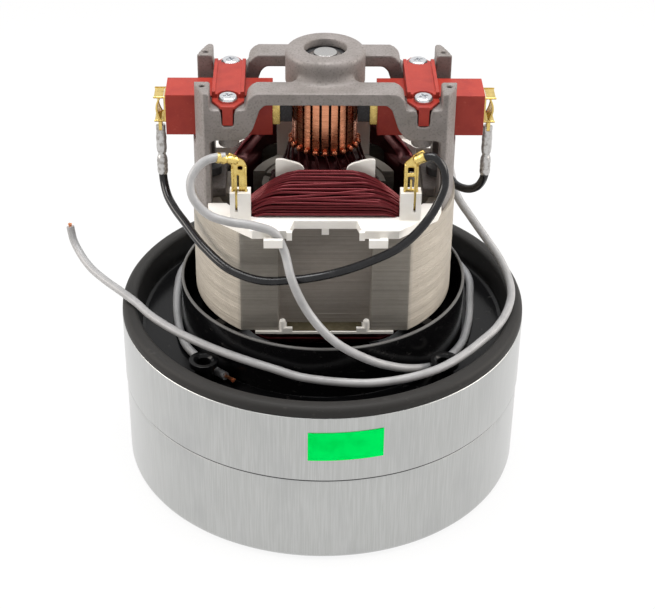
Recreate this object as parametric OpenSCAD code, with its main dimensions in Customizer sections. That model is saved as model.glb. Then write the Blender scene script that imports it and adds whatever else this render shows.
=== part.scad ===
// Two-stage vacuum cleaner motor: a fan casing below, an open universal motor above.
// The origin is the centre of the casing's bottom, +Z runs up the shaft.

/* [Fan casing] */
// Outside diameter of the upper casing shell
casing_d = 144; // [136:1:160]
// Thickness of the pressed casing sheet
sheet = 0.8; // [0.6:0.1:1.2]
// Height of the seam between the two shells
seam_h = 35; // [34:0.5:38]
// Height of the upper shell above the seam
shell_h = 25.6; // [23:0.2:33]
// Length of the lower shell that the upper shell slips over
lap_h = 5; // [3:0.5:7]
// Bore of the air inlet
inlet_d = 36; // [28:1:38]

/* [Fans] */
// Diameter of both fan wheels
fan_d = 124; // [100:1:128]
// Diameter of a fan's eye
eye_d = 42; // [40:1:48]
// Height of a fan from its eye ring to its back plate
fan_h = 13.5; // [12:0.5:15]
// Height of a fan's blades at the tip
tip_h = 7; // [5:0.5:9]
// Blades of one fan
blade_count = 8; // [6:1:10]
// Sheet of the fans and of the fixed plates
fan_sheet = 1; // [0.8:0.1:1.4]
// Height of the return vanes between the stages
return_h = 9; // [7:0.5:10]
// Return vanes
vane_count = 9; // [7:1:12]
// Running gap above and below a fan
run_gap = 1.5; // [1:0.1:2]

/* [End plate] */
// Height of the rounded rim above the steel edge
rim_h = 3.9; // [3.4:0.1:6]
// Width of the rim
rim_w = 5.5; // [5:0.1:7]
// Depth of the dish below the rim's crest
dish_depth = 10.5; // [9:0.5:14]
// Thickness of the dish floor
floor_t = 2; // [1.5:0.1:3]
// Outside diameter of the collar round the stator
collar_d = 101; // [99:0.5:106]
// Height of the collar above the dish floor
collar_h = 19.5; // [16:0.5:26]
// Pitch circle of the four posts in the dish
post_pcd = 116; // [112:0.5:116.5]
// Diameter of a post's flange
post_d = 10; // [8:0.5:10]
// Bore of a post
post_bore = 4.8; // [3:0.1:5.4]

/* [Stator] */
// Diameter across the stack's round sides
stack_d = 90.4; // [88:0.2:92]
// Distance between the stack's front and back flats
stack_flats = 70.4; // [68:0.2:74]
// Height of the lamination stack
stack_h = 38; // [30:0.5:50]
// Depth that the stack sits below the collar's lip
stack_sink = 2.5; // [1:0.1:5]
// Bore for the armature
bore_d = 44; // [42:0.2:46]
// Gap between armature and stator
air_gap = 0.6; // [0.4:0.1:1]
// Width of the recess in each flat
recess_w = 31; // [26:0.5:32]
// Depth of that recess
recess_depth = 5; // [3:0.5:6]
// Diameter of the two through bolts
bolt_d = 4; // [3:0.5:4.5]

/* [Field coils] */
// Turns in the outer layer of each coil
coil_turns = 10; // [6:1:10]
// Diameter of the enamelled wire
coil_wire_d = 0.75; // [0.5:0.05:0.75]
// Height of the upper end turns at the middle
coil_crown = 13.3; // [12:0.1:15]

/* [Bracket] */
// Height of the bracket from the stack to its bars
bracket_h = 43; // [41:0.5:50]
// Thickness of the two bars
bar_t = 4.4; // [3.5:0.1:6]
// Distance between the bars' inner faces
bar_gap = 20.7; // [19:0.1:22]
// Distance over the bars' outer faces
bar_span = 39.6; // [38:0.1:42]
// Diameter of the bearing boss
boss_d = 26.6; // [25.4:0.1:29]
// Height of the boss above the bars
boss_h = 7.6; // [6.5:0.1:10]
// Hole in the top of the boss
boss_hole_d = 14.2; // [12:0.1:16]
// Depth from the top of the boss to the bearing
boss_lip = 3; // [2:0.1:4]
// Pilot holes in the tops of the columns
pilot_d = 2.2; // [1.6:0.1:2.6]

/* [Rotor] */
// Shaft diameter at the bearings
shaft_d = 8; // [7:0.1:8]
// Shaft diameter under the armature
core_shaft_d = 10.6; // [10:0.1:11]
// Armature slots
slot_count = 11; // [9:1:13]
// Diameter of the commutator
comm_d = 22.4; // [21:0.1:24]
// Length of the commutator bars
comm_len = 19; // [16:0.5:20]
// Commutator bars
bar_count = 22; // [18:1:24]

/* [Bearings] */
// Outside diameter of a bearing
bearing_d = 22; // [21:0.1:22]
// Width of a bearing
bearing_w = 7; // [6:0.1:7]
// Balls in a bearing
ball_count = 7; // [6:1:8]
// Ball diameter
ball_d = 3.97; // [3.5:0.01:4]

/* [Brush gear] */
// Width of a brush across the shaft
brush_w = 6.6; // [5:0.1:7]
// Height of a brush along the shaft
brush_tall = 8.4; // [7:0.1:9]
// Length of a brush
brush_len = 19; // [14:0.5:20]
// Free play of a brush in its tube, each side
brush_play = 0.15; // [0.1:0.05:0.3]
// Wall of the brass tube
tube_t = 0.5; // [0.4:0.1:0.6]
// Width of a holder box
holder_w = 13.7; // [12:0.1:14.5]
// Height of a holder box
holder_tall = 14.6; // [13:0.1:15.5]
// Length of a holder box outside the stack's circle
holder_out = 7.8; // [6:0.1:12]
// Curls of a brush spring
spring_curls = 8; // [6:1:9]
// Wire of a brush spring
spring_wire_d = 0.6; // [0.4:0.05:0.7]

/* [Leads] */
// Outside diameter of the insulated leads
lead_d = 2.9; // [2.4:0.1:2.9]

/* [Hidden] */
$fn = 48;
// Radial clearance of pressed and seated pieces
fit = 0.05;
// Overlap of shapes that are one solid
sink = 0.4;

// Heights
casing_h = seam_h + shell_h;
rim_top = casing_h + rim_h;
floor_top = rim_top - dish_depth;
floor_low = floor_top - floor_t;
collar_top = floor_top + collar_h;
stack_low = collar_top - stack_sink;
stack_top = stack_low + stack_h;
bar_top = stack_top + bracket_h;
bar_low = bar_top - bar_t;
boss_top = bar_top + boss_h;
upper_bearing_top = boss_top - boss_lip;
upper_bearing_low = upper_bearing_top - bearing_w;
lower_bearing_top = floor_top;
lower_bearing_low = lower_bearing_top - bearing_w;
brush_drop = 14;
brush_z = bar_top - brush_drop;
shelf_drop = 5.8;
shelf_z = bar_top - shelf_drop;
comm_clear = 1.6;
comm_low = bar_low - comm_clear - comm_len;
comm_top = comm_low + comm_len;

// Fan stage heights
plate_sink = 5;
plate_low = seam_h - plate_sink;
guide_low = plate_low - return_h - fan_sheet;
fan1_top = guide_low - run_gap;
eye_lift = 0.2;
fan2_top = plate_low + eye_lift + fan_h;
neck_top = fan1_top - fan_h + run_gap;

// Radii
casing_r = casing_d / 2;
casing_in = casing_r - sheet;
lower_r = casing_r - 0.3;
lap_r = casing_in - 0.1;
inlet_r = inlet_d / 2;
eye_r = eye_d / 2;
fan_r = fan_d / 2;
rim_r = casing_r - 0.2;
rim_in = rim_r - rim_w;
dish_r = rim_in - 0.8;
skirt_r = casing_in - 0.1;
collar_r = collar_d / 2;
collar_t = 1.6;
collar_in = collar_r - collar_t;
stack_r = stack_d / 2;
flat_y = stack_flats / 2;
bore_r = bore_d / 2;
armature_r = bore_r - air_gap;
bearing_r = bearing_d / 2;
shaft_r = shaft_d / 2;
core_shaft_r = core_shaft_d / 2;
comm_r = comm_d / 2;
hub_r = bearing_r + 3;
race_r = (bearing_r + shaft_r) / 2;
race_play = 0.12;
ring_t = (bearing_r - shaft_r) / 2 - 1.9;
seat = 0.02;
hub_wall = 2;
segment_in = core_shaft_r + seat + hub_wall;
slot_r = 3.2;
slot_at = armature_r - 5.2;

// Shaft end, nut and washer
nut_h = 5;
washer_t = 1.2;
washer_top = fan1_top - fan_sheet;
shaft_low = washer_top - washer_t - nut_h - 2;
shaft_top = boss_top - 1.6;

// Posts and bolts of the end plate
bolt_reach = 12;
post_stand = 9;
flange_t = 2;

// Stator pockets and the bolts through the yoke
pocket_in = bore_r + 4;
pocket_out = stack_r - 8.2;
neck_half = 16.5;
pocket_y = flat_y - 7.2;
tip_gap = 8;
bolt_x = stack_r - 6.7;
bolt_r = bolt_d / 2;
bolt_head_r = bolt_r + 1.4;
foot_t = 4;

// Bracket plan
bracket_r = stack_r - 0.8;
bar_in = bar_gap / 2;
bar_out = bar_span / 2;
notch_x = stack_r - 13.3;
notch_half = 5.9;
column_x = notch_x + notch_half;
leg_t = 2.6;
saddle_t = 1;
saddle_block = 2.6;
screw_y = (bar_in + bar_out) / 2 - 0.9;
screw_head_r = 3.2;
screw_head_h = 1.8;
screw_r = 1.5;
screw_deep = 12;
arm_drop = 17.3;
pilot_x = stack_r - 4.9;
pilot_y = bar_in + 3.05;
pilot_depth = 10;

// Brush gear places along X
holder_end = stack_r + holder_out;
holder_in = comm_r + 6.3;
tube_in = comm_r + 3.8;
brush_gap = 0.2;
brush_face = comm_r + brush_gap;
brush_back = comm_r + brush_len;
brush_half_y = brush_w / 2;
brush_half_z = brush_tall / 2;
tube_in_y = brush_half_y + brush_play;
tube_in_z = brush_half_z + brush_play;
tube_y = tube_in_y + tube_t;
tube_z = tube_in_z + tube_t;
cap_t = 0.8;
saddle_top = shelf_z + saddle_t;
block_top = shelf_z + saddle_block;

// Crimps that hang from the caps
crimp_x = holder_end + 2.4;
crimp_low = brush_z - 23;
crimp_top = brush_z - 7;
cap_tab = 8.5;
cap_tab_low = brush_z - cap_tab;

// Fins of the upper insulators, at the edge of the bore
fin_y = bore_r - 1;
fin_t = 1.2;
fin_in = 7;
fin_out = 16.4;
fin_low_h = 18.8;
fin_high_h = 20.5;

// Field coil lines: the outer layer runs between two angles in the pockets
coil_r = pocket_out - 1.4;
coil_deep = 4.8;
coil_room = 2.6;
coil_angle_front = asin((pocket_y - coil_room) / coil_r);
coil_angle_side = 18;
coil_bulge = 4;
bundle_low = 1.4;
bundle_low_most = 2.6;
coil_wire_r = coil_wire_d / 2;
coil_floor = 4;
flange_in_y = flat_y - recess_depth - 1.2;
coil_front_y = flange_in_y - 1.4;
coil_back_y = fin_y + fin_t + 0.4;
coil_crest_y = coil_back_y + 1.6;
coil_low_front_y = flat_y - 2.2;
coil_low_floor = 4.6;
coil_low_drop = 8.5;
corner_low = 6;
corner_crest = 26;
corner_inner = 12.4;
coil_clear = coil_wire_r + 0.6;
loop_rings = 24;
coil_sides = 6;

// Insulator places
former_t = 3;
former_end_x = stack_r - 6.2;
former_front_y = flat_y + 3.3;
middle_notch = 11;
tab_in = 14;
tab_out = 20.2;
tab_shelf_in = 17.8;
tab_out_y = 4.9;
tab_hang = 0.7;
lip_t = 1.2;
lip_top = 2.3;
wing_angle = 35.5;
wing_r = stack_r + 0.8;
wing_x = 24;
peg_drop = 2.4;
socket_x = stack_r - 17.3;
socket_y = flat_y - 5.9;
socket_w = 6.8;
socket_d = 4.6;
socket_h = 10;
blade_w = 4.6;
blade_t = 1.4;
blade_low = stack_top + former_t + 1;
blade_top = stack_top + former_t + socket_h + 9.5;

lead_r = lead_d / 2;
lead_sides = 8;

// Bare strands at the leads' ends
strand_r = 0.8;
strand_front = 4.5;
strand_back = 1.2;

// Lead routes, millimetres
JUMPER_FRONT = [[-55.4, 0, 115], [-55.4, 0, 112.2], [-54.9, -1.6, 109], [-53.8, -4.8, 106.6],
    [-51.4, -10.2, 104.9], [-47.2, -18, 103.3], [-40, -30, 100.4], [-30.7, -39, 97], [-20.9, -42.5, 95.4],
    [-11.7, -43, 95.9], [1.4, -43.2, 98.3], [14.4, -43.5, 103.4], [24.1, -43, 108.7], [31.1, -40, 114.3],
    [36.2, -36.8, 121.4], [38.4, -33.9, 127.4], [37.4, -32, 132.5], [34.4, -30.9, 135.2],
    [30.7, -30, 134.4]];
JUMPER_BACK = [[55.4, 0, 115], [55.4, 0, 112.2], [54.9, 1.4, 109], [53.6, 3.8, 105.4], [51.2, 6.8, 102.8],
    [47.6, 11.2, 101.6], [44.5, 18.5, 102.2], [38, 30, 102], [28.5, 39.5, 101], [16, 45.5, 100.5],
    [1, 47.5, 101.5], [-13.5, 47, 105], [-24, 45.2, 110], [-31.1, 41, 115], [-36.2, 36.8, 121.4],
    [-38.4, 33.9, 127.4], [-37.4, 32, 132.5], [-34.4, 30.9, 135.2], [-30.7, 30, 134.4]];
LEAD_FRONT = [[-32.4, -30.3, 134.7], [-35.4, -30.7, 134.7], [-39.1, -31.6, 133.8], [-42.1, -33.2, 131.3],
    [-43.6, -35, 128.1], [-43.1, -37, 124.1], [-40.7, -38.6, 120.8], [-37.3, -40, 118.5],
    [-32, -40.7, 116.9], [-23.2, -40.6, 115.1], [-16.6, -40.4, 112.2], [-13.8, -40.8, 106.6],
    [-11.2, -46.2, 98.6], [-5, -49, 86], [3.2, -51.4, 77.2], [13.3, -52, 71], [24, -48, 64.6],
    [33, -42, 60], [38, -36.7, 57.4], [43.5, -29.6, 56], [48.3, -21.5, 55.6], [52, -8.5, 55.6],
    [54.2, 8, 55.6], [54.8, 25.5, 55.6], [46.06, 43.46, 55.6], [25, 58.2, 55.6], [0, 63.3, 55.6],
    [-25, 58.2, 55.6], [-46.06, 43.46, 55.6], [-52.4, 28.8, 55.6], [-53.4, 15, 55.6], [-52.8, 1, 55.6],
    [-50.9, -12, 55.6], [-48.3, -21.5, 55.6], [-43.5, -29.6, 55.6], [-38, -36.7, 55.8],
    [-33.6, -41.6, 56.4]];
LEAD_BACK = [[32.4, 30.3, 134.7], [35.4, 30.8, 134.6], [39.2, 31.8, 133.4], [42.4, 33.2, 129.4],
    [43.8, 33.6, 122.8], [44.2, 31.8, 115.4], [44.6, 27.6, 108.4], [46, 22.8, 101.4], [48.2, 17, 94.6],
    [53.6, 12, 87.8], [59, 8, 81.3], [63.6, 4.2, 75.6], [66.5, -0.8, 70.8], [66.9, -8, 68.4],
    [65.2, -15, 67], [60, -26, 66], [53.9, -34.3, 65.8], [46, -43.2, 65.4], [38.8, -49.4, 65.2],
    [30.8, -53.6, 65], [22.3, -56, 64.6], [14, -56.5, 64], [6, -55.4, 63.6], [-2, -53.9, 63.5],
    [-8.6, -52.3, 63.7], [-16.7, -49.8, 65], [-26.2, -45.5, 65.6], [-40.7, -36.2, 65.6],
    [-50.3, -28.9, 65.9], [-60.7, -18.1, 66], [-66.6, -9.7, 66.1], [-71.6, -4.7, 67], [-78.3, 2.6, 67.5],
    [-84.3, 9.9, 68.5], [-88.5, 16.4, 70.5], [-91, 19.8, 74], [-92, 21.2, 79]];

// Small functions

function unit(v) = v / norm(v);
function mix(a, b, t) = a + (b - a) * t;
function arc(cx, cy, r, a0, a1, steps = 6) =
    [for (i = [0:steps]) let (a = mix(a0, a1, i / steps)) [cx + r * cos(a), cy + r * sin(a)]];

// An outline with eased corners: the third number of a point says how far from the corner the curve starts
function eased(p, steps = 4) = let (n = len(p)) [for (i = [0:n - 1])
    let (c = [p[i][0], p[i][1]], e = p[i][2], b = p[(i + n - 1) % n], f = p[(i + 1) % n],
        s = c + e * unit([b[0], b[1]] - c), t = c + e * unit([f[0], f[1]] - c))
    each e == 0 ? [c] : [for (k = [0:steps]) let (u = k / steps) mix(mix(s, c, u), mix(c, t, u), u)]];

// Directions along a path: the mean of the steps on both sides of each point
function tangents(p) = let (n = len(p))
    [for (i = [0:n - 1]) unit(p[min(i + 1, n - 1)] - p[max(i - 1, 0)])];
// Carries a side direction along the path without twist
function carry(t, side, i = 0, out = []) = i == len(t) ? out :
    let (s = unit(side - (side * t[i]) * t[i])) carry(t, s, i + 1, concat(out, [s]));
function first_side(t) = abs(t[2]) < 0.9 ? cross(t, [0, 0, 1]) : cross(t, [0, 1, 0]);

// A closed tube of round rings along a list of points
module tube(points, r, sides) {
    t = tangents(points);
    s = carry(t, first_side(t[0]));
    last = len(points) - 1;
    rings = [for (i = [0:last], k = [0:sides - 1])
        let (a = 360 * k / sides) points[i] + r * (cos(a) * s[i] + sin(a) * cross(t[i], s[i]))];
    walls = [for (i = [0:last - 1], k = [0:sides - 1])
        let (m = (k + 1) % sides, a = i * sides + k, b = i * sides + m)
        each [[a, a + sides, b + sides], [a, b + sides, b]]];
    start = [for (k = [1:sides - 2]) [0, k, k + 1]];
    end = [for (k = [1:sides - 2]) [last * sides, last * sides + k + 1, last * sides + k]];
    polyhedron(points = rings, faces = concat(walls, start, end), convexity = 10);
}

module ring(r_out, r_in, h) {
    difference() {
        cylinder(r = r_out, h = h);
        translate([0, 0, -1]) cylinder(r = r_in, h = h + 2);
    }
}

module box(low, high) {
    translate(low) cube(high - low);
}

// A box given on the right, set on the side asked for: 1 right, -1 left
module on_side(side) {
    if (side > 0) children();
    else mirror([1, 0, 0]) children();
}

// The back of the motor is the front turned half round
module at_back(back) {
    rotate([0, 0, back ? 180 : 0]) children();
}

// Fan casing

module lower_casing() {
    corner = 3;
    outline = concat(
        [[inlet_r, 0], [inlet_r, neck_top], [inlet_r + sheet, neck_top], [inlet_r + sheet, sheet]],
        arc(lower_r - corner, corner, corner - sheet, -90, 0),
        [[lower_r - sheet, seam_h - 1.4], [lap_r - sheet, seam_h - 0.4], [lap_r - sheet, seam_h + lap_h],
            [lap_r, seam_h + lap_h], [lap_r, seam_h - 0.4], [lower_r, seam_h - 1.2]],
        arc(lower_r - corner, corner, corner, 0, -90));
    color("lightgray") rotate_extrude($fn = 96) polygon(outline);
}

module upper_casing() {
    color("lightgray") translate([0, 0, seam_h])
        ring(casing_r, casing_in, casing_h - seam_h, $fn = 96);
}

module green_sticker() {
    sticker_w = 25.4;
    sticker_h = 11.3;
    sticker_turn = 5.5;
    span = sticker_w / casing_r * 180 / PI;
    color("limegreen") translate([0, 0, casing_h - 16.9]) rotate([0, 0, -90 + sticker_turn - span / 2])
        rotate_extrude(angle = span, $fn = 96) translate([casing_r + 0.02, 0]) square([0.15, sticker_h]);
}

// Fixed plate between the stages, with an upturned edge in the lap of the shells
module stage_plate() {
    edge_r = lap_r - sheet - fit;
    color("gainsboro") translate([0, 0, plate_low]) {
        ring(edge_r, eye_r + 1.4, fan_sheet, $fn = 96);
        ring(edge_r, edge_r - fan_sheet, seam_h + lap_h - plate_low, $fn = 96);
    }
}

// One curved vane: a slice of a round wall, kept on one side of the wheel
module curved_wall(r_in, r_out, wall, h) {
    bend = r_out * 0.66;
    intersection() {
        translate([bend * 0.62, -bend * 0.72, 0]) ring(bend + wall / 2, bend - wall / 2, h);
        ring(r_out, r_in, h);
        translate([0, 0, -1]) cube([r_out + 1, r_out + 1, h + 2]);
    }
}

module return_guide() {
    guide_r = fan_r + 1.5;
    color("gainsboro") translate([0, 0, guide_low]) {
        ring(guide_r, 8.5, fan_sheet, $fn = 96);
        for (i = [0:vane_count - 1]) rotate([0, 0, 360 * i / vane_count])
            curved_wall(eye_r + 3, guide_r - 0.5, fan_sheet, fan_sheet + return_h);
    }
}

// End plate

module end_plate() {
    lip_r = bearing_r - 2.5;
    outer_round = 2.5;
    inner_round = 1.7;
    skirt_low = floor_low - 5;
    outline = concat(
        [[bearing_r + fit, lower_bearing_low], [bearing_r + fit, lower_bearing_top], [lip_r, lower_bearing_top],
            [lip_r, floor_top + floor_t], [hub_r, floor_top + floor_t], [hub_r, floor_top],
            [collar_in, floor_top],
            [collar_in, collar_top - 3], [collar_in + 0.6, collar_top], [collar_r - 0.3, collar_top],
            [collar_r, collar_top - 0.3], [collar_r, floor_top], [dish_r - 1.5, floor_top]],
        arc(dish_r - 1.5, floor_top + 1.5, 1.5, -90, 0, 4),
        arc(rim_in + inner_round, rim_top - inner_round, inner_round, 180, 90),
        arc(rim_r - outer_round, rim_top - outer_round, outer_round, 90, 0),
        [[rim_r, casing_h], [skirt_r, casing_h], [skirt_r, skirt_low], [skirt_r - 2.5, skirt_low],
            [skirt_r - 2.5, floor_low], [hub_r, floor_low], [hub_r, lower_bearing_low]]);
    color([0.12, 0.12, 0.13]) difference() {
        union() {
            rotate_extrude($fn = 96) polygon(outline);
            for (a = [45:90:315]) rotate([0, 0, a]) translate([post_pcd / 2, 0, floor_low]) post();
            for (side = [-1, 1]) translate([side * bolt_x, 0, floor_low])
                cylinder(r = bolt_r + 3, h = stack_low - floor_low);
            for (a = [40, 140, 220, 320]) rotate([0, 0, a])
                box([stack_r - 5, -2, floor_low], [collar_in + sink, 2, stack_low]);
        }
        for (a = [45:90:315]) rotate([0, 0, a]) translate([post_pcd / 2, 0, 0]) post_hole();
        for (side = [-1, 1]) translate([side * bolt_x, 0, stack_low - bolt_reach])
            cylinder(r = bolt_r + fit, h = bolt_reach + 1);
        for (a = [30:60:330]) rotate([0, 0, a]) air_window();
    }
}

// A spool: a thin stem between the floor and a flange
module post() {
    stem_h = floor_t + post_stand - flange_t;
    cylinder(d = post_d - 3, h = stem_h + sink);
    translate([0, 0, stem_h]) cylinder(d = post_d, h = flange_t);
}
module post_hole() {
    translate([0, 0, floor_top + 0.5]) cylinder(d = post_bore, h = post_stand);
    translate([0, 0, floor_top + post_stand - 1]) cylinder(d1 = post_bore, d2 = post_bore + 2.1, h = 1.05);
}
// One of the slots in the floor inside the collar that let the air up into the motor
module air_window() {
    span = 34;
    window_in = hub_r + 4;
    window_out = bolt_x - bolt_r - 4;
    rotate([0, 0, -span / 2]) translate([0, 0, floor_low - 1]) rotate_extrude(angle = span)
        translate([window_in, 0]) square([window_out - window_in, floor_t + 2]);
}

module bearing_retainer() {
    color("silver") translate([0, 0, lower_bearing_low - 1]) ring(hub_r, shaft_r + 4.5, 1);
}

// Bearings

module race_cut() {
    rotate_extrude() translate([race_r, bearing_w / 2]) circle(d = ball_d + race_play);
}
module bearing_outer() {
    difference() {
        ring(bearing_r, bearing_r - ring_t, bearing_w);
        race_cut();
    }
}
module bearing_inner() {
    difference() {
        ring(shaft_r + seat + ring_t, shaft_r + seat, bearing_w);
        race_cut();
    }
}
module bearing_balls() {
    for (i = [0:ball_count - 1]) rotate([0, 0, 360 * i / ball_count])
        translate([race_r, 0, bearing_w / 2]) sphere(d = ball_d);
}
module bearing_shield() {
    ring(bearing_r - ring_t - 0.05, shaft_r + ring_t + 0.3, 0.6);
}
module upper_bearing_outer() { color("silver") translate([0, 0, upper_bearing_low]) bearing_outer(); }
module lower_bearing_outer() { color("silver") translate([0, 0, lower_bearing_low]) bearing_outer(); }
module upper_bearing_inner() { color("silver") translate([0, 0, upper_bearing_low]) bearing_inner(); }
module lower_bearing_inner() { color("silver") translate([0, 0, lower_bearing_low]) bearing_inner(); }
module upper_bearing_balls() { color("white") translate([0, 0, upper_bearing_low]) bearing_balls(); }
module lower_bearing_balls() { color("white") translate([0, 0, lower_bearing_low]) bearing_balls(); }
module upper_bearing_shield() { color("dimgray") translate([0, 0, upper_bearing_top - 0.9]) bearing_shield(); }
module lower_bearing_shield() { color("dimgray") translate([0, 0, lower_bearing_low + 0.3]) bearing_shield(); }

// Stator

module stator_core() {
    color("darkgray") translate([0, 0, stack_low]) difference() {
        intersection() {
            cylinder(r = stack_r, h = stack_h, $fn = 96);
            box([-stack_r, -flat_y, 0], [stack_r, flat_y, stack_h]);
        }
        translate([0, 0, -1]) cylinder(r = bore_r, h = stack_h + 2);
        for (turn = [0, 180]) rotate([0, 0, turn]) {
            box([-recess_w / 2, -flat_y - 1, -1], [recess_w / 2, recess_depth - flat_y, stack_h + 1]);
            box([0, -tip_gap, -1], [pocket_in + 4, tip_gap, stack_h + 1]);
            translate([bolt_x, 0, -1]) cylinder(r = bolt_r + 0.1, h = stack_h + 2);
        }
        for (sx = [-1, 1], sy = [-1, 1]) intersection() {
            translate([0, 0, -1]) ring(pocket_out, pocket_in, stack_h + 2);
            box([min(sx * neck_half, sx * stack_r), min(sy * tip_gap, sy * pocket_y), -2],
                [max(sx * neck_half, sx * stack_r), max(sy * tip_gap, sy * pocket_y), stack_h + 2]);
        }
    }
}

module stator_bolts() {
    color("dimgray") for (side = [-1, 1]) translate([side * bolt_x, 0, 0]) {
        translate([0, 0, stack_low - bolt_reach + 1])
            cylinder(r = bolt_r, h = stack_h + bolt_reach - 1 + foot_t + 1);
        translate([0, 0, stack_top + foot_t]) cylinder(r = bolt_head_r, h = 3);
    }
}

// Field coils. A loop has 24 stations: five on each of its four corners, one on each of its four runs.
// share: 0 at the turn nearest the flange, 1 at the crest.
// depth: 0 on the wire layer, 1 on the bundle's inner face.

function side_point(share, depth) =
    let (r = coil_r - depth * coil_deep, a = mix(coil_angle_front, coil_angle_side, share))
    [r * cos(a), -r * sin(a)];
function top_y(share, depth) =
    -mix(mix(coil_front_y, coil_crest_y, share) + coil_bulge * share * (1 - share), coil_back_y, depth);
function low_y(share) = -mix(coil_low_front_y, coil_back_y, share);
function top_rise(share) = coil_floor + coil_crown * share;
function low_drop(share, depth) =
    coil_low_floor + coil_low_drop * share - depth * min(bundle_low_most, bundle_low + 2 * share);
// Width of a corner: the bundle's inner face stays straight past the fins
function corner_w(share, depth) = mix(corner_low, mix(corner_crest, corner_inner, depth), share);

// One station of a quarter: step 0 is the middle of the upright run, 6 the middle of the end turn
function quarter(share, depth, step, upper) =
    let (p = side_point(share, depth), w = corner_w(share, depth), a = min(max((step - 1) * 22.5, 0), 90))
    step == 0 ? [p[0], p[1], (stack_low + stack_top) / 2] :
    upper ? [step == 6 ? 0 : p[0] - w + w * cos(a), mix(p[1], top_y(share, depth), sin(a)),
        stack_top + top_rise(share) * sin(a)] :
    [step == 6 ? 0 : p[0] - w + w * cos(a), mix(p[1], low_y(share), sin(a)),
        stack_low - low_drop(share, depth) * sin(a)];
// Stations run from the right upright over the top to the left upright, and back underneath
function station(share, depth, j) =
    let (q = floor(j / 6), k = j - 6 * q, step = (q % 2 == 0) ? k : 6 - k,
        p = quarter(share, depth, step, q < 2), flip = (q == 1 || q == 2) ? -1 : 1) [flip * p[0], p[1], p[2]];

coil_path = [for (i = [0:coil_turns * loop_rings - 1])
    station(i / (coil_turns * loop_rings - 1), 0, i % loop_rings)];
function least_gap(p, apart, d) =
    min([for (i = [0:len(p) - 1 - apart], j = [i + apart:len(p) - 1]) norm(p[i] - p[j])]) - d;
echo(str("least gap between turns of a field winding: ", least_gap(coil_path, 12, coil_wire_d), " mm"));

module field_winding(back) {
    color([0.4, 0.05, 0.1]) at_back(back) tube(coil_path, coil_wire_r, coil_sides);
}

// A point of the bundle's outer face: under the wire layer by the wire and its gap, square to the layer
function bundle_point(share, j) =
    let (a = station(share, 0, j), b = station(share, 1, j), dip = 0.02,
        along = station(share, 0, (j + 1) % loop_rings) - station(share, 0, (j + loop_rings - 1) % loop_rings),
        across = station(share + dip, 0, j) - station(share - dip, 0, j), n = unit(cross(along, across)))
    a + n * sign(n * (b - a)) * coil_clear;

module field_core(back) {
    shares = [0.04, 0.35, 0.65, 0.96];
    n = len(shares);
    m = 2 * n;
    points = [for (j = [0:loop_rings - 1]) each concat(
        [for (k = [0:n - 1]) bundle_point(shares[k], j)],
        [for (k = [n - 1:-1:0]) station(shares[k], 1, j)])];
    faces = [for (j = [0:loop_rings - 1], k = [0:m - 1])
        let (j2 = (j + 1) % loop_rings, k2 = (k + 1) % m,
            a = j * m + k, b = j * m + k2, c = j2 * m + k2, d = j2 * m + k)
        each [[a, d, c], [a, c, b]]];
    color([0.3, 0.04, 0.08]) at_back(back) polyhedron(points = points, faces = faces, convexity = 10);
}

module field_core_front() { field_core(false); }
module field_core_back() { field_core(true); }
module field_winding_front() { field_winding(false); }
module field_winding_back() { field_winding(true); }

// White insulators

module flange_half(side) {
    inner_y = flange_in_y;
    end_y = bar_out + 0.2;
    outline = [[middle_notch - 1.4, inner_y], [middle_notch + 1, former_front_y], [wing_x, former_front_y],
        wing_r * [cos(wing_angle), sin(wing_angle)], [former_end_x, end_y + 1.5],
        [former_end_x, end_y], [notch_x + 1, end_y], [notch_x - 4.5, inner_y - 1.8], [notch_x - 7.5, inner_y]];
    linear_extrude(former_t) polygon([for (p = outline) [side * p[0], -p[1]]]);
}

// Flange with two lead hooks and two feet at the front, a terminal socket and a fin on each side, and a middle peg
module upper_former(back) {
    recess_y = recess_depth - flat_y;
    fin = eased([[fin_in, 0, 0], [fin_out, 0, 0], [fin_out, fin_high_h, 0.8], [fin_out - 2.4, fin_high_h, 1],
        [fin_in + 1.5, fin_low_h, 1.2], [fin_in, fin_low_h - 1.5, 0.8]]);
    color("white") at_back(back) translate([0, 0, stack_top]) difference() {
        union() {
            for (side = [-1, 1]) {
                flange_half(side);
                on_side(side) {
                    box([tab_in, -former_front_y - tab_out_y, -tab_hang],
                        [tab_out, -former_front_y - tab_out_y + lip_t, lip_top]);
                    box([tab_shelf_in, -former_front_y - tab_out_y + sink, -tab_hang],
                        [tab_out, -flat_y - 0.2, 0.5]);
                    box([tab_in - 3, -former_front_y - 1.2, 0],
                        [tab_in - 1.2, -former_front_y + sink, former_t]);
                    box([socket_x - socket_w / 2, -socket_y - socket_d / 2, sink],
                        [socket_x + socket_w / 2, -socket_y + socket_d / 2, former_t + socket_h]);
                    translate([0, -fin_y, 0]) rotate([90, 0, 0]) linear_extrude(fin_t) polygon(fin);
                }
            }
            box([-fin_out, recess_y - 1.8, 0], [fin_out, -fin_y, former_t]);
            box([-1.2, recess_y - 1.6, -peg_drop], [1.2, recess_y - 0.2, sink]);
        }
        translate([0, 0, -bore_r]) cylinder(r = bore_r + 0.3, h = 3 * bore_r);
        for (side = [-1, 1]) translate([side * socket_x, -socket_y, former_t + 1]) {
            box([-blade_w / 2 - 0.1, -blade_t / 2 - 0.1, 0], [blade_w / 2 + 0.1, blade_t / 2 + 0.1, socket_h]);
            box([1.3 * side - 0.4, -socket_d, 2], [1.3 * side + 0.4, 0, socket_h]);
        }
    }
}

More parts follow.
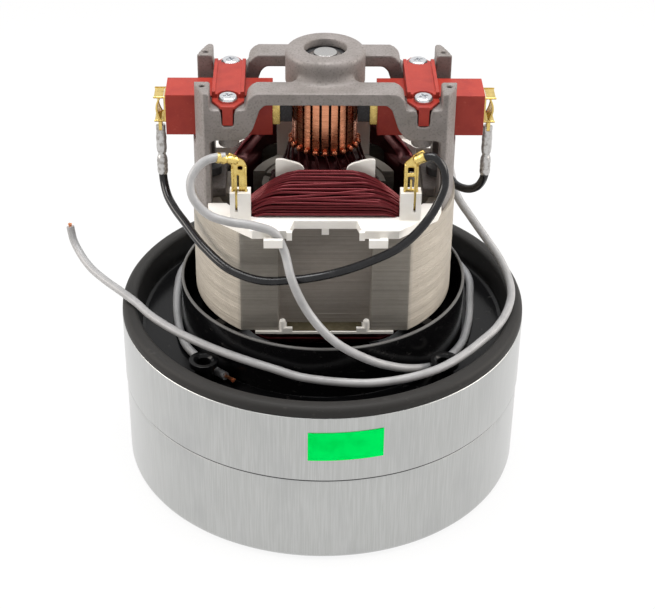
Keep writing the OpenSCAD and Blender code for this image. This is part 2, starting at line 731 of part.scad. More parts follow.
// Thin plate under the stack, with two pegs and three low stubs along its front edge
module lower_former(back) {
    plate_x = 23.5;
    plate_t = 0.8;
    peg_x = 14.2;
    peg_r = 1.1;
    peg_top = plate_t + 4.6;
    stub_w = 2.2;
    stub_t = 1.2;
    stub_top = plate_t + 1.4;
    front_y = -flat_y - 1;
    step_y = -coil_low_front_y - 0.8;
    peg = concat([[0, 0], [peg_r, 0]], arc(0, peg_top - peg_r, peg_r, 0, 85, 5), [[0, peg_top]]);
    color("white") at_back(back) translate([0, 0, stack_low - plate_t]) difference() {
        union() {
            box([-plate_x, front_y, 0], [plate_x, step_y, plate_t]);
            box([-neck_half + 0.3, step_y - sink, 0], [neck_half - 0.3, -bore_r + 2, plate_t]);
            for (side = [-1, 1]) on_side(side) {
                translate([peg_x, front_y + peg_r, 0]) rotate_extrude() polygon(peg);
                box([peg_x - peg_r - stub_w, front_y, 0], [peg_x, front_y + stub_t, stub_top]);
            }
            box([-stub_w, front_y, 0], [0, front_y + stub_t, stub_top]);
        }
        translate([0, 0, -1]) cylinder(r = bore_r + 0.3, h = plate_t + 2);
    }
}

module upper_former_front() { upper_former(false); }
module upper_former_back() { upper_former(true); }
module lower_former_front() { lower_former(false); }
module lower_former_back() { lower_former(true); }

// Brass terminals of the field coils: a blade in its socket, a box above it, and a crimp that takes a lead

module terminal_blade() {
    box([-blade_w / 2, -blade_t / 2, blade_low], [blade_w / 2, blade_t / 2, blade_top]);
}
// The crimp is a short barrel round the end of a lead
module crimp_barrel(from, to) {
    way = to - from;
    length = norm(way);
    translate(from) rotate([0, acos(way[2] / length), atan2(way[1], way[0])])
        difference() {
            cylinder(r = lead_r + 0.45, h = length);
            translate([0, 0, length - 1.8]) cylinder(r = lead_r + fit, h = 3);
        }
}
module field_terminal(side, back, lead_end, lead_next) {
    way = unit(lead_end - lead_next);
    color("goldenrod") at_back(back) {
        translate([side * socket_x, -socket_y, 0]) terminal_blade();
        crimp_barrel(lead_end + way * 2.6, lead_end - way * 1.8);
        hull() {
            translate([side * socket_x - 1.5, -socket_y - blade_t / 2, blade_top - 3]) cube([3, blade_t, 2.9]);
            translate(lead_end + way * 1.6) sphere(r = 1.2, $fn = 16);
        }
    }
}
function last(p) = p[len(p) - 1];
function before_last(p) = p[len(p) - 2];
function turned(p) = [-p[0], -p[1], p[2]];

module field_terminal_front_left() { field_terminal(-1, false, LEAD_FRONT[0], LEAD_FRONT[1]); }
module field_terminal_front_right() { field_terminal(1, false, last(JUMPER_FRONT), before_last(JUMPER_FRONT)); }
module field_terminal_back_left() {
    field_terminal(1, true, turned(last(JUMPER_BACK)), turned(before_last(JUMPER_BACK)));
}
module field_terminal_back_right() { field_terminal(-1, true, turned(LEAD_BACK[0]), turned(LEAD_BACK[1])); }

// Die-cast bracket

// Half of one bar with its notch, arm and column, as an outline seen from the front
module bracket_side() {
    arm_low = bar_top - arm_drop;
    slot_half = 2.1;
    slot_deep = 6;
    outline = eased([[0, bar_top, 0], [notch_x - notch_half - 2.6, bar_top, 1.8],
        [notch_x - notch_half - 0.3, bar_top - 2.6, 1.2], [notch_x - notch_half, shelf_z, 0.7],
        [notch_x - slot_half - 0.2, shelf_z, 0.3], [notch_x - slot_half + 0.2, shelf_z - slot_deep, 0],
        [notch_x + slot_half - 0.2, shelf_z - slot_deep, 0], [notch_x + slot_half + 0.2, shelf_z, 0.3],
        [column_x, shelf_z, 0.7], [column_x, bar_top, 0.8], [stack_r + 1, bar_top, 0], [stack_r + 1, stack_top, 0],
        [column_x + 0.1, stack_top, 0], [column_x + 0.1, arm_low, 1.5], [notch_x - 5.1, arm_low + 0.5, 1.6],
        [notch_x - 8, arm_low + 3.8, 1.8], [notch_x - 10.4, bar_low - 1.6, 0.9], [notch_x - 11.9, bar_low, 1],
        [0, bar_low, 0]]);
    translate([0, bar_out, 0]) rotate([90, 0, 0]) linear_extrude(bar_out - bar_in) polygon(outline);
}

module motor_bracket() {
    web_top = brush_z - holder_tall / 2 - 1.5;
    web_half = bar_in + sink;
    head_room = 20;
    color("darkgray") difference() {
        union() {
            intersection() {
                for (side = [-1, 1]) on_side(side) {
                    for (turn = [0, 1]) mirror([0, turn, 0]) bracket_side();
                    box([bolt_x - 5, -web_half, stack_top], [stack_r, web_half, stack_top + foot_t]);
                }
                translate([0, 0, stack_top - 1]) cylinder(r = bracket_r, h = bracket_h + 2, $fn = 96);
            }
            intersection() {
                translate([0, 0, stack_top]) ring(bracket_r, bracket_r - leg_t, web_top - stack_top, $fn = 96);
                box([-stack_r, -web_half, stack_top], [stack_r, web_half, web_top]);
            }
            for (side = [-1, 1], turn = [-1, 1])
                translate([side * notch_x, turn * screw_y, shelf_z - screw_deep - 3])
                    cylinder(r = screw_r + 2, h = 5);
            boss();
        }
        translate([0, 0, bar_low - 1]) cylinder(r = bearing_r + fit, h = upper_bearing_top - bar_low + 1);
        translate([0, 0, bar_low]) cylinder(d = boss_hole_d, h = boss_top - bar_low + 1);
        for (side = [-1, 1], turn = [-1, 1]) {
            translate([side * notch_x, turn * screw_y, shelf_z - screw_deep - 2])
                cylinder(r = screw_r + fit, h = head_room);
            translate([side * pilot_x, turn * pilot_y, bar_top - pilot_depth])
                cylinder(d = pilot_d, h = pilot_depth + 1);
        }
        for (side = [-1, 1]) translate([side * bolt_x, 0, stack_top - 1]) {
            cylinder(r = bolt_r + 0.1, h = foot_t + 2);
            translate([0, 0, foot_t + 1]) cylinder(r = bolt_head_r + 0.2, h = head_room);
        }
    }
}
// Round bearing boss with an eased top edge, hollowed out to the bars that it stands on
module boss() {
    edge = 2;
    fillet = 3;
    boss_r = boss_d / 2;
    outline = concat([[0, bar_low], [boss_r, bar_low]], arc(boss_r - edge, boss_top - edge, edge, 0, 90),
        [[0, boss_top]]);
    foot = concat([[boss_r - 1, bar_top - 1], [boss_r + fillet, bar_top - 1]],
        arc(boss_r + fillet, bar_top + fillet, fillet, 270, 180), [[boss_r - 1, bar_top + fillet]]);
    rotate_extrude($fn = 96) polygon(outline);
    intersection() {
        rotate_extrude($fn = 96) polygon(foot);
        for (turn = [0, 1]) mirror([0, turn, 0]) box([-stack_r, bar_in, bar_low], [stack_r, bar_out, boss_top]);
    }
}

// Brush gear, drawn on the right

// Red box round the brass tube, with a saddle that is screwed down on the bars and a tongue in each slot
module brush_holder(side) {
    half_w = notch_half - 0.6;
    tongue_w = 1.75;
    tongue_t = 2;
    tongue_y = bar_out - 0.3;
    rail_w = 1.2;
    rail_h = 0.8;
    block_y = screw_y - 1.2;
    box_y = holder_w / 2;
    box_z = holder_tall / 2;
    plan = [[half_w, 0], [half_w, screw_y + 0.5], [tongue_w + 0.5, tongue_y], [-tongue_w - 0.5, tongue_y],
        [-half_w, screw_y + 0.5], [-half_w, 0]];
    color("firebrick") on_side(side) difference() {
        union() {
            box([holder_in, -box_y, brush_z - box_z], [holder_end, box_y, brush_z + box_z]);
            box([notch_x - half_w, -box_y, brush_z], [notch_x + half_w, box_y, block_top]);
            for (turn = [0, 1]) mirror([0, turn, 0]) translate([notch_x, 0, 0]) {
                translate([0, 0, shelf_z]) linear_extrude(saddle_t) polygon(plan);
                box([-tongue_w, tongue_y - tongue_t, shelf_z - 5.8], [tongue_w, tongue_y, shelf_z + sink]);
                difference() {
                    union() {
                        box([-half_w, 0, shelf_z], [half_w, block_y, block_top]);
                        for (edge = [-half_w, half_w - rail_w])
                            box([edge, 0, block_top - sink], [edge + rail_w, block_y, block_top + rail_h]);
                    }
                    translate([0, screw_y, saddle_top]) cylinder(r = screw_head_r + 0.5, h = 2 * saddle_block);
                }
            }
        }
        box([holder_in - 1, -tube_y - fit, brush_z - tube_z - fit],
            [holder_end + 1, tube_y + fit, brush_z + tube_z + fit]);
        for (turn = [-1, 1]) translate([notch_x, turn * screw_y, shelf_z - 1])
            cylinder(r = screw_r + 0.2, h = saddle_t + 2);
    }
}

module holder_screws() {
    slot_w = 0.7;
    slot_long = 3.2;
    slot_turn = 20;
    dome = 1;
    head = concat([[0, 0], [screw_head_r, 0]],
        arc(screw_head_r - dome, screw_head_h - dome - 0.1, dome, 0, 80, 4), [[0, screw_head_h]]);
    color("gainsboro") for (side = [-1, 1], turn = [-1, 1])
        translate([side * notch_x, turn * screw_y, saddle_top]) difference() {
            union() {
                translate([0, 0, -saddle_t - screw_deep])
                    cylinder(r = screw_r, h = saddle_t + screw_deep + sink);
                rotate_extrude() polygon(head);
            }
            for (cross = [0, 90]) rotate([0, 0, cross + slot_turn])
                box([-slot_long / 2, -slot_w / 2, screw_head_h - 0.9],
                    [slot_long / 2, slot_w / 2, screw_head_h + 1]);
        }
}

module brush_tube(side) {
    color("gold") on_side(side) translate([0, 0, brush_z]) difference() {
        box([tube_in, -tube_y, -tube_z], [holder_end, tube_y, tube_z]);
        box([tube_in - 1, -tube_in_y, -tube_in_z], [holder_end + 1, tube_in_y, tube_in_z]);
    }
}

// Brass end cap folded from strip: a plate over the tube's end, a face between two lips, and a tab
module brush_cap(side) {
    half_y = 4.1;
    top = 5.3;
    low = -4;
    face_x = 2.9;
    lip_x = 4.2;
    tab_x = crimp_x - holder_end;
    color("gold") on_side(side) translate([holder_end, 0, brush_z]) {
        box([0, -half_y, low], [cap_t, half_y, top]);
        box([cap_t - 0.1, -half_y, top - cap_t], [lip_x, half_y, top]);
        box([cap_t - 0.1, -half_y, low], [lip_x, half_y, low + cap_t]);
        box([face_x, -half_y, low + 0.1], [face_x + cap_t, half_y, top - 0.1]);
        box([tab_x - 0.6, -1.6, -cap_tab], [tab_x + 0.6, 1.6, low + 0.1]);
    }
}

// Tinned receptacle that hangs from the cap's tab and grips a jumper lead
module lead_crimp(side) {
    color("whitesmoke") on_side(side) translate([crimp_x, 0, 0]) difference() {
        union() {
            translate([0, 0, crimp_low + 3])
                cylinder(r1 = lead_r + 0.1, r2 = lead_r - 0.2, h = crimp_top - crimp_low - 4);
            translate([0, 0, crimp_low - 2.5]) cylinder(r = lead_r + 0.4, h = 6.5);
        }
        translate([0, 0, crimp_low - 3]) cylinder(r = lead_r + fit, h = 3);
        box([-0.7, -1.7, cap_tab_low - 0.1], [0.7, 1.7, crimp_top + 1]);
    }
}

module carbon_brush(side) {
    color("dimgray") on_side(side) translate([0, 0, brush_z]) difference() {
        box([comm_r - 1, -brush_half_y, -brush_half_z], [brush_back, brush_half_y, brush_half_z]);
        translate([0, 0, -brush_tall]) cylinder(r = brush_face, h = 2 * brush_tall);
    }
}

// Spring: straight ends square to the brush and the cap, open curls between
module brush_spring(side) {
    end_gap = 0.1;
    coil_radius = 2.4;
    x0 = brush_back + end_gap;
    x1 = holder_end - end_gap;
    lead_in = spring_wire_d;
    rings = spring_curls * 8;
    path = concat([[x0, coil_radius, 0]],
        [for (i = [0:rings]) let (a = 360 * i / 8)
            [mix(x0 + lead_in, x1 - lead_in, i / rings), coil_radius * cos(a), coil_radius * sin(a)]],
        [[x1, coil_radius, 0]]);
    echo(str("least gap between curls of a brush spring: ", least_gap(path, 5, spring_wire_d), " mm"));
    color("silver") on_side(side) translate([0, 0, brush_z]) tube(path, spring_wire_d / 2, 6);
}

module brush_holder_left() { brush_holder(-1); }
module brush_holder_right() { brush_holder(1); }
module brush_tube_left() { brush_tube(-1); }
module brush_tube_right() { brush_tube(1); }
module brush_cap_left() { brush_cap(-1); }
module brush_cap_right() { brush_cap(1); }
module lead_crimp_left() { lead_crimp(-1); }
module lead_crimp_right() { lead_crimp(1); }
module carbon_brush_left() { carbon_brush(-1); }
module carbon_brush_right() { carbon_brush(1); }
module brush_spring_left() { brush_spring(-1); }
module brush_spring_right() { brush_spring(1); }

// Leads

module strands(end, before, length) {
    way = unit(end - before);
    tube([end, end + way * length / 2, end + way * length], strand_r, lead_sides);
}
module jumper_front() { color([0.1, 0.1, 0.1]) tube(JUMPER_FRONT, lead_r, lead_sides); }
module jumper_back() { color([0.1, 0.1, 0.1]) tube(JUMPER_BACK, lead_r, lead_sides); }
module lead_front() { color("darkgray") tube(LEAD_FRONT, lead_r, lead_sides); }
module lead_back() { color("darkgray") tube(LEAD_BACK, lead_r, lead_sides); }
module lead_front_strands() { color("peru") strands(last(LEAD_FRONT), before_last(LEAD_FRONT), strand_front); }
module lead_back_strands() { color("peru") strands(last(LEAD_BACK), before_last(LEAD_BACK), strand_back); }

// Rotor

module shaft() {
    color("silver") union() {
        translate([0, 0, shaft_low]) cylinder(r = shaft_r, h = shaft_top - shaft_low);
        translate([0, 0, lower_bearing_top])
            cylinder(r = core_shaft_r, h = upper_bearing_low - lower_bearing_top);
    }
}

module armature_core() {
    color("gray") translate([0, 0, stack_low]) difference() {
        ring(armature_r, core_shaft_r + seat, stack_h, $fn = 96);
        for (i = [0:slot_count - 1]) rotate([0, 0, 360 * i / slot_count]) {
            translate([slot_at, 0, -1]) cylinder(r = slot_r, h = stack_h + 2);
            box([slot_at, -1.2, -1], [armature_r + 1, 1.2, stack_h + 1]);
        }
    }
}

module armature_winding() {
    top = stack_top + 0.5;
    low = stack_low - 0.5;
    crown_in = core_shaft_r + 0.6;
    color([0.45, 0.1, 0.08]) {
        for (i = [0:slot_count - 1]) rotate([0, 0, 360 * i / slot_count])
            translate([slot_at, 0, low - 2]) cylinder(r = slot_r - 0.2, h = stack_h + 5);
        rotate_extrude($fn = 96) polygon([[crown_in, top], [armature_r - 1.5, top], [armature_r - 1, top + 2.5],
            [armature_r - 3.5, top + 8], [comm_r + 1, comm_low - 2.6], [crown_in, comm_low - 2.6]]);
        rotate_extrude($fn = 96) polygon([[crown_in, low], [crown_in, low - 9], [armature_r - 6, low - 10],
            [armature_r - 2, low - 7], [armature_r - 1, low - 2.5], [armature_r - 1.5, low]]);
    }
}

module commutator_hub() {
    color("saddlebrown") translate([0, 0, comm_low - 2.5])
        ring(segment_in - seat, core_shaft_r + seat, comm_len + 3.5);
}

// Separate copper bars with a hook at the lower end of each
module commutator_bars() {
    pitch = 360 / bar_count;
    gap = 0.5 / comm_r * 180 / PI;
    hook_out = 1.2;
    color("peru") for (i = [0:bar_count - 1]) rotate([0, 0, i * pitch]) rotate_extrude(angle = pitch - gap)
        polygon([[segment_in, comm_low - 2], [comm_r + hook_out, comm_low - 2], [comm_r + hook_out, comm_low],
            [comm_r, comm_low], [comm_r, comm_top], [segment_in, comm_top]]);
}

module fan_wheel() {
    eye_ring = 2.5;
    shroud_tip = -fan_sheet - tip_h;
    shroud_eye = -fan_h + eye_ring;
    union() {
        translate([0, 0, -fan_sheet]) ring(fan_r, shaft_r + seat, fan_sheet, $fn = 96);
        rotate_extrude($fn = 96) polygon([[eye_r - 0.8, -fan_h], [eye_r, -fan_h], [eye_r, shroud_eye - 0.8],
            [fan_r, shroud_tip - 0.8], [fan_r, shroud_tip], [eye_r - 0.8, shroud_eye]]);
        intersection() {
            for (i = [0:blade_count - 1]) rotate([0, 0, 360 * i / blade_count])
                translate([0, 0, -fan_h]) curved_wall(eye_r + 1, fan_r - 0.3, fan_sheet, fan_h);
            rotate_extrude($fn = 96) polygon([[eye_r, -fan_sheet / 2], [eye_r, shroud_eye - 0.4],
                [fan_r, shroud_tip - 0.4], [fan_r, -fan_sheet / 2]]);
        }
    }
}
module fan_stage_1() { color("silver") translate([0, 0, fan1_top]) fan_wheel(); }
module fan_stage_2() { color("silver") translate([0, 0, fan2_top]) fan_wheel(); }

module spacer(low, high) {
    color("silver") translate([0, 0, low]) ring(shaft_r + 2.5, shaft_r + seat, high - low);
}
module fan_spacer_lower() { spacer(fan1_top, fan2_top - fan_sheet); }
module fan_spacer_upper() { spacer(fan2_top, lower_bearing_low); }
module fan_washer() {
    color("silver") translate([0, 0, washer_top - washer_t]) ring(shaft_r + 6, shaft_r + seat, washer_t);
}
module fan_nut() {
    across = 13;
    color("silver") translate([0, 0, washer_top - washer_t - nut_h]) difference() {
        cylinder(d = across / cos(30), h = nut_h, $fn = 6);
        translate([0, 0, -1]) cylinder(r = shaft_r + seat, h = nut_h + 2);
    }
}

lower_casing();
upper_casing();
green_sticker();
stage_plate();
return_guide();
end_plate();
bearing_retainer();
stator_core();
stator_bolts();
field_core_front();
field_core_back();
field_winding_front();
field_winding_back();
upper_former_front();
upper_former_back();
lower_former_front();
lower_former_back();
field_terminal_front_left();
field_terminal_front_right();
field_terminal_back_left();
field_terminal_back_right();
motor_bracket();
holder_screws();
brush_holder_left();
brush_holder_right();
brush_tube_left();
brush_tube_right();
brush_cap_left();
brush_cap_right();
lead_crimp_left();
lead_crimp_right();
brush_spring_left();
brush_spring_right();
upper_bearing_outer();
lower_bearing_outer();
upper_bearing_shield();
lower_bearing_shield();
jumper_front();
jumper_back();
lead_front();
lead_back();
lead_front_strands();
lead_back_strands();
carbon_brush_left();
carbon_brush_right();
upper_bearing_balls();
lower_bearing_balls();
shaft();
upper_bearing_inner();
lower_bearing_inner();
armature_core();
armature_winding();
commutator_hub();
commutator_bars();
fan_stage_1();
fan_stage_2();
fan_spacer_lower();
fan_spacer_upper();
fan_nut();
fan_washer();
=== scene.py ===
# %% [markdown]
# # A vacuum cleaner motor, dressed for its picture
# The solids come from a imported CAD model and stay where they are. This file gives them finishes, and
# swaps the plain ones for fuller surfaces: wound wire, laminated steel, smooth leads, cast metal.
# Lengths are in millimetres until a mesh is made, because a maker thinks in them. Blender's unit is the
# metre.

import math

import bmesh
import bpy
import numpy as np
from mathutils import Matrix
from mathutils.geometry import tessellate_polygon


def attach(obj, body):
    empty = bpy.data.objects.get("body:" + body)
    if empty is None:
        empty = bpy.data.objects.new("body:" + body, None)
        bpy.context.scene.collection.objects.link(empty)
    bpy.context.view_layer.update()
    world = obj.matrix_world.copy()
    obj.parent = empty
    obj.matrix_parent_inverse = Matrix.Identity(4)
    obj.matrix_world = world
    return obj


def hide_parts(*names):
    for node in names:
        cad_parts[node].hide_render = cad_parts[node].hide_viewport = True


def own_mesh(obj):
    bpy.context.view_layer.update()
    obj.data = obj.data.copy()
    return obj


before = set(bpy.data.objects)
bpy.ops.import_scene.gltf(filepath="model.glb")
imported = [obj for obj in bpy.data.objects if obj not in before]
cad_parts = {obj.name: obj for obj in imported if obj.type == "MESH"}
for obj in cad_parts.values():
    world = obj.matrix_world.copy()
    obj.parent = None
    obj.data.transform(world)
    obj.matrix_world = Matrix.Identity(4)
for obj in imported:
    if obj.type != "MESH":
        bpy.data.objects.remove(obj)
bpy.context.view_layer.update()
MM = 0.001


def add(name, data):
    """A new object with this data, placed in the scene."""
    obj = bpy.data.objects.new(name, data)
    bpy.context.scene.collection.objects.link(obj)
    return obj


# %% [markdown]
# ## Camera
# The picture was taken from the front, about 33 degrees above the table. A camera in Blender looks
# along its own -Z, so its matrix has the columns right, up and backwards. The pitch tips it down, and
# the small yaw and roll are those of a camera held by hand. The lens follows from the image width of
# 655 pixels and the sensor's 36 mm, and the small shift from where the picture was cut.

# %% Place the camera
PITCH = 0.5774
YAW = 0.0247
ROLL = 0.0141
FOCAL_PIXELS = 1677.5
IMAGE_WIDTH = 655
SENSOR = 36
CAMERA_AT = np.array([-10.089, -510.698, 387.528])
SHIFT_X = -0.00294
SHIFT_Y = 0.01424

forward = np.array([math.sin(YAW) * math.cos(PITCH), math.cos(YAW) * math.cos(PITCH), -math.sin(PITCH)])
level = np.array([math.cos(YAW), -math.sin(YAW), 0])
upright = np.cross(level, forward)
right = math.cos(ROLL) * level + math.sin(ROLL) * upright
up = math.cos(ROLL) * upright - math.sin(ROLL) * level

lens = bpy.data.cameras.new("front_camera")
lens.sensor_fit = "HORIZONTAL"
lens.sensor_width = SENSOR
lens.lens = SENSOR * FOCAL_PIXELS / IMAGE_WIDTH
lens.shift_x = SHIFT_X
lens.shift_y = SHIFT_Y
camera = add("front_camera", lens)
turn = np.eye(4)
turn[:3, :3] = np.stack([right, up, -forward], 1)
turn[:3, 3] = CAMERA_AT * MM
camera.matrix_world = Matrix(turn.tolist())
bpy.context.scene.camera = camera
bpy.context.scene.view_settings.view_transform = "Standard"
print("camera lens", round(lens.lens, 1), "mm")

# %% [markdown]
# ## Light and floor
# The motor stands in a white light tent. One large lamp overhead makes the soft shine on every upper
# edge, and two tall ones at the sides brighten the flanks of the casing. The white around the motor
# isn't extra light: rays from the camera, from gloss and through glass see a plain white, and the rest
# see a dimmer one. Places and sizes are in metres here.

# %% Lamps
def lamp(name, at, target, size, power, colour=(1, 1, 1)):
    """An oblong area lamp at one point, aimed at another: its -Z follows the line between the two."""
    light = bpy.data.lights.new(name, "AREA")
    light.shape = "RECTANGLE"
    light.size = size[0]
    light.size_y = size[1]
    light.energy = power
    light.color = colour
    obj = add(name, light)
    away = np.array(at, float) - np.array(target, float)
    away = away / np.linalg.norm(away)
    side = np.cross([0.0, 1.0, 0.0], away)
    side = side / np.linalg.norm(side)
    pose = np.eye(4)
    pose[:3, :3] = np.stack([side, np.cross(away, side), away], 1)
    pose[:3, 3] = at
    obj.matrix_world = Matrix(pose.tolist())


AIM = (0, 0, 0.08)
WARM = (1.0, 0.93, 0.86)
WIDE_LAMP = (0.6, 0.45)
TALL_LAMP = (0.25, 0.55)
OVERHEAD_WATTS = 6.8
SIDE_WATTS = 3.0
lamp("overhead_lamp", (0.0, 0.02, 0.85), AIM, WIDE_LAMP, OVERHEAD_WATTS)
lamp("left_lamp", (-0.62, -0.06, 0.36), AIM, TALL_LAMP, SIDE_WATTS, WARM)
lamp("right_lamp", (0.62, -0.03, 0.36), AIM, TALL_LAMP, SIDE_WATTS, WARM)
print("one lamp of", OVERHEAD_WATTS, "W and two of", SIDE_WATTS, "W")

# %% White tent
def seen_directly(tree):
    """1 for rays that come from the camera, off gloss or through glass, and 0 for the rest."""
    path = tree.nodes.new("ShaderNodeLightPath")
    seen = path.outputs["Is Camera Ray"]
    for kind in ("Is Glossy Ray", "Is Transmission Ray"):
        larger = tree.nodes.new("ShaderNodeMath")
        larger.operation = "MAXIMUM"
        tree.links.new(seen, larger.inputs[0])
        tree.links.new(path.outputs[kind], larger.inputs[1])
        seen = larger.outputs[0]
    return seen


SKY_FILL = 0.21
sky = bpy.data.worlds.new("tent")
bpy.context.scene.world = sky
sky.use_nodes = True
strength = sky.node_tree.nodes.new("ShaderNodeMapRange")
strength.inputs["To Min"].default_value = SKY_FILL
strength.inputs["To Max"].default_value = 1.0
sky.node_tree.links.new(seen_directly(sky.node_tree), strength.inputs["Value"])
tent = sky.node_tree.nodes["Background"]
tent.inputs["Color"].default_value = (1, 1, 1, 1)
sky.node_tree.links.new(strength.outputs["Result"], tent.inputs["Strength"])
print("the tent is seen as white and fills with", SKY_FILL)

# %% Paper on the table
FLOOR_HALF = 3.0
FLOOR_Z = -0.0002
FLOOR_SHOWN_WHITE = 0.88
corners = np.array([[-1, -1], [1, -1], [1, 1], [-1, 1]]) * FLOOR_HALF
sheet = bpy.data.meshes.new("table_paper")
sheet.from_pydata(np.column_stack([corners, np.full(4, FLOOR_Z)]).tolist(), [], [(0, 1, 2, 3)])
table = add("table_paper", sheet)
paper = bpy.data.materials.new("table_paper")
paper.use_nodes = True
tree = paper.node_tree
matt = tree.nodes["Principled BSDF"]
matt.inputs["Base Color"].default_value = (0.9, 0.9, 0.9, 1)
matt.inputs["Roughness"].default_value = 0.9
glow = tree.nodes.new("ShaderNodeEmission")
glow.inputs["Color"].default_value = (1, 1, 1, 1)
shown = tree.nodes.new("ShaderNodeMath")
shown.operation = "MULTIPLY"
shown.inputs[1].default_value = FLOOR_SHOWN_WHITE
tree.links.new(seen_directly(tree), shown.inputs[0])
both = tree.nodes.new("ShaderNodeMixShader")
tree.links.new(shown.outputs[0], both.inputs["Fac"])
tree.links.new(matt.outputs["BSDF"], both.inputs[1])
tree.links.new(glow.outputs["Emission"], both.inputs[2])
tree.links.new(both.outputs["Shader"], tree.nodes["Material Output"].inputs["Surface"])
sheet.materials.append(paper)
print("paper of", 2 * FLOOR_HALF, "m under the motor")

# %% [markdown]
# ## How a finish is written
# Every finish is one Principled shader. What is the same all over sits on the shader's own sockets.
# What varies is a noise, a height or a distance in Object coordinates, and three tools lead it on:
# `paint_stain_and_light` mixes a second colour in, for real stains and for painted light and shade,
# `polish` spreads the roughness, and `relief` pushes the surface in and out for the light.

# %% Start a finish
def finish(name, colour, metallic, roughness, **sockets):
    """A material with one Principled shader; the other sockets are named with _ for a space."""
    made = bpy.data.materials.new(name)
    made.use_nodes = True
    inputs = made.node_tree.nodes["Principled BSDF"].inputs
    inputs["Base Color"].default_value = (*colour, 1)
    inputs["Metallic"].default_value = metallic
    inputs["Roughness"].default_value = roughness
    for socket, value in sockets.items():
        inputs[socket.replace("_", " ")].default_value = value
    return made


def shader_of(made):
    """The one shader of a finish."""
    return made.node_tree.nodes["Principled BSDF"]


print("a finish starts as one shader")

# %% Values that vary over a piece
def place_on(made):
    """Where a ray lands on the piece, in Object coordinates."""
    return made.node_tree.nodes.new("ShaderNodeTexCoord").outputs["Object"]


def ramped(made, value, start, end, low=0.0, high=1.0):
    """The part of a value from start to end, spread from low to high."""
    ramp = made.node_tree.nodes.new("ShaderNodeMapRange")
    for socket, number in zip(("From Min", "From Max", "To Min", "To Max"), (start, end, low, high)):
        ramp.inputs[socket].default_value = number
    made.node_tree.links.new(value, ramp.inputs["Value"])
    return ramp.outputs["Result"]


def grain(made, size, stretch=(1, 1, 1), detail=3.0):
    """A noise from 0 to 1 with spots of about `size` mm, drawn out along an axis by its stretch."""
    tree = made.node_tree
    scale = tree.nodes.new("ShaderNodeMapping")
    scale.inputs["Scale"].default_value = [1 / s for s in stretch]
    noise = tree.nodes.new("ShaderNodeTexNoise")
    noise.inputs["Scale"].default_value = 1 / (size * MM)
    noise.inputs["Detail"].default_value = detail
    tree.links.new(place_on(made), scale.inputs["Vector"])
    tree.links.new(scale.outputs["Vector"], noise.inputs["Vector"])
    return noise.outputs["Fac"]


def along(made, axis, low, high):
    """0 at `low` mm along X, Y or Z, 1 at `high`, straight in between and level beyond."""
    tree = made.node_tree
    split = tree.nodes.new("ShaderNodeSeparateXYZ")
    tree.links.new(place_on(made), split.inputs["Vector"])
    return ramped(made, split.outputs[axis], low * MM, high * MM)


def from_middle(made, low, high):
    """0 where X lies within `low` mm of the middle on either side, 1 beyond `high`."""
    tree = made.node_tree
    split = tree.nodes.new("ShaderNodeSeparateXYZ")
    size = tree.nodes.new("ShaderNodeMath")
    size.operation = "ABSOLUTE"
    tree.links.new(place_on(made), split.inputs["Vector"])
    tree.links.new(split.outputs["X"], size.inputs[0])
    return ramped(made, size.outputs[0], low * MM, high * MM)


def from_axis(made, low, high):
    """0 within `low` mm of the Z axis, 1 beyond `high`: the length of the vector without its height."""
    tree = made.node_tree
    flat = tree.nodes.new("ShaderNodeVectorMath")
    flat.operation = "MULTIPLY"
    flat.inputs[1].default_value = (1, 1, 0)
    size = tree.nodes.new("ShaderNodeVectorMath")
    size.operation = "LENGTH"
    tree.links.new(place_on(made), flat.inputs[0])
    tree.links.new(flat.outputs[0], size.inputs[0])
    return ramped(made, size.outputs["Value"], low * MM, high * MM)


print("values: grain, along, from_middle and from_axis")

# %% Lead a value into a finish
# A Mix node has a set of sockets for each kind of value. These are the places of its colours.
FIRST_COLOUR = 6
SECOND_COLOUR = 7
MIXED_COLOUR = 2


def paint_stain_and_light(made, value, colour, start, end, most=1.0):
    """Mixes a second colour over the one that is there, by a value from start to end."""
    tree = made.node_tree
    base = shader_of(made).inputs["Base Color"]
    mix = tree.nodes.new("ShaderNodeMix")
    mix.data_type = "RGBA"
    if base.is_linked:
        tree.links.new(base.links[0].from_socket, mix.inputs[FIRST_COLOUR])
    else:
        mix.inputs[FIRST_COLOUR].default_value = base.default_value
    mix.inputs[SECOND_COLOUR].default_value = (*colour, 1)
    tree.links.new(ramped(made, value, start, end, 0, most), mix.inputs[0])
    tree.links.new(mix.outputs[MIXED_COLOUR], base)


def polish(made, value, low, high, start=0.35, end=0.65):
    """Roughness from low to high as a value goes from start to end."""
    spread = ramped(made, value, start, end, low, high)
    made.node_tree.links.new(spread, shader_of(made).inputs["Roughness"])


def relief(made, value, depth, strength):
    """Bump: the light sees the surface raised by the value, `depth` mm at 1. Reliefs add up."""
    tree = made.node_tree
    normal = shader_of(made).inputs["Normal"]
    bump = tree.nodes.new("ShaderNodeBump")
    bump.inputs["Strength"].default_value = strength
    bump.inputs["Distance"].default_value = depth * MM
    tree.links.new(value, bump.inputs["Height"])
    if normal.is_linked:
        tree.links.new(normal.links[0].from_socket, bump.inputs["Normal"])
    tree.links.new(bump.outputs["Normal"], normal)


print("finish tools: stain, polish and relief")
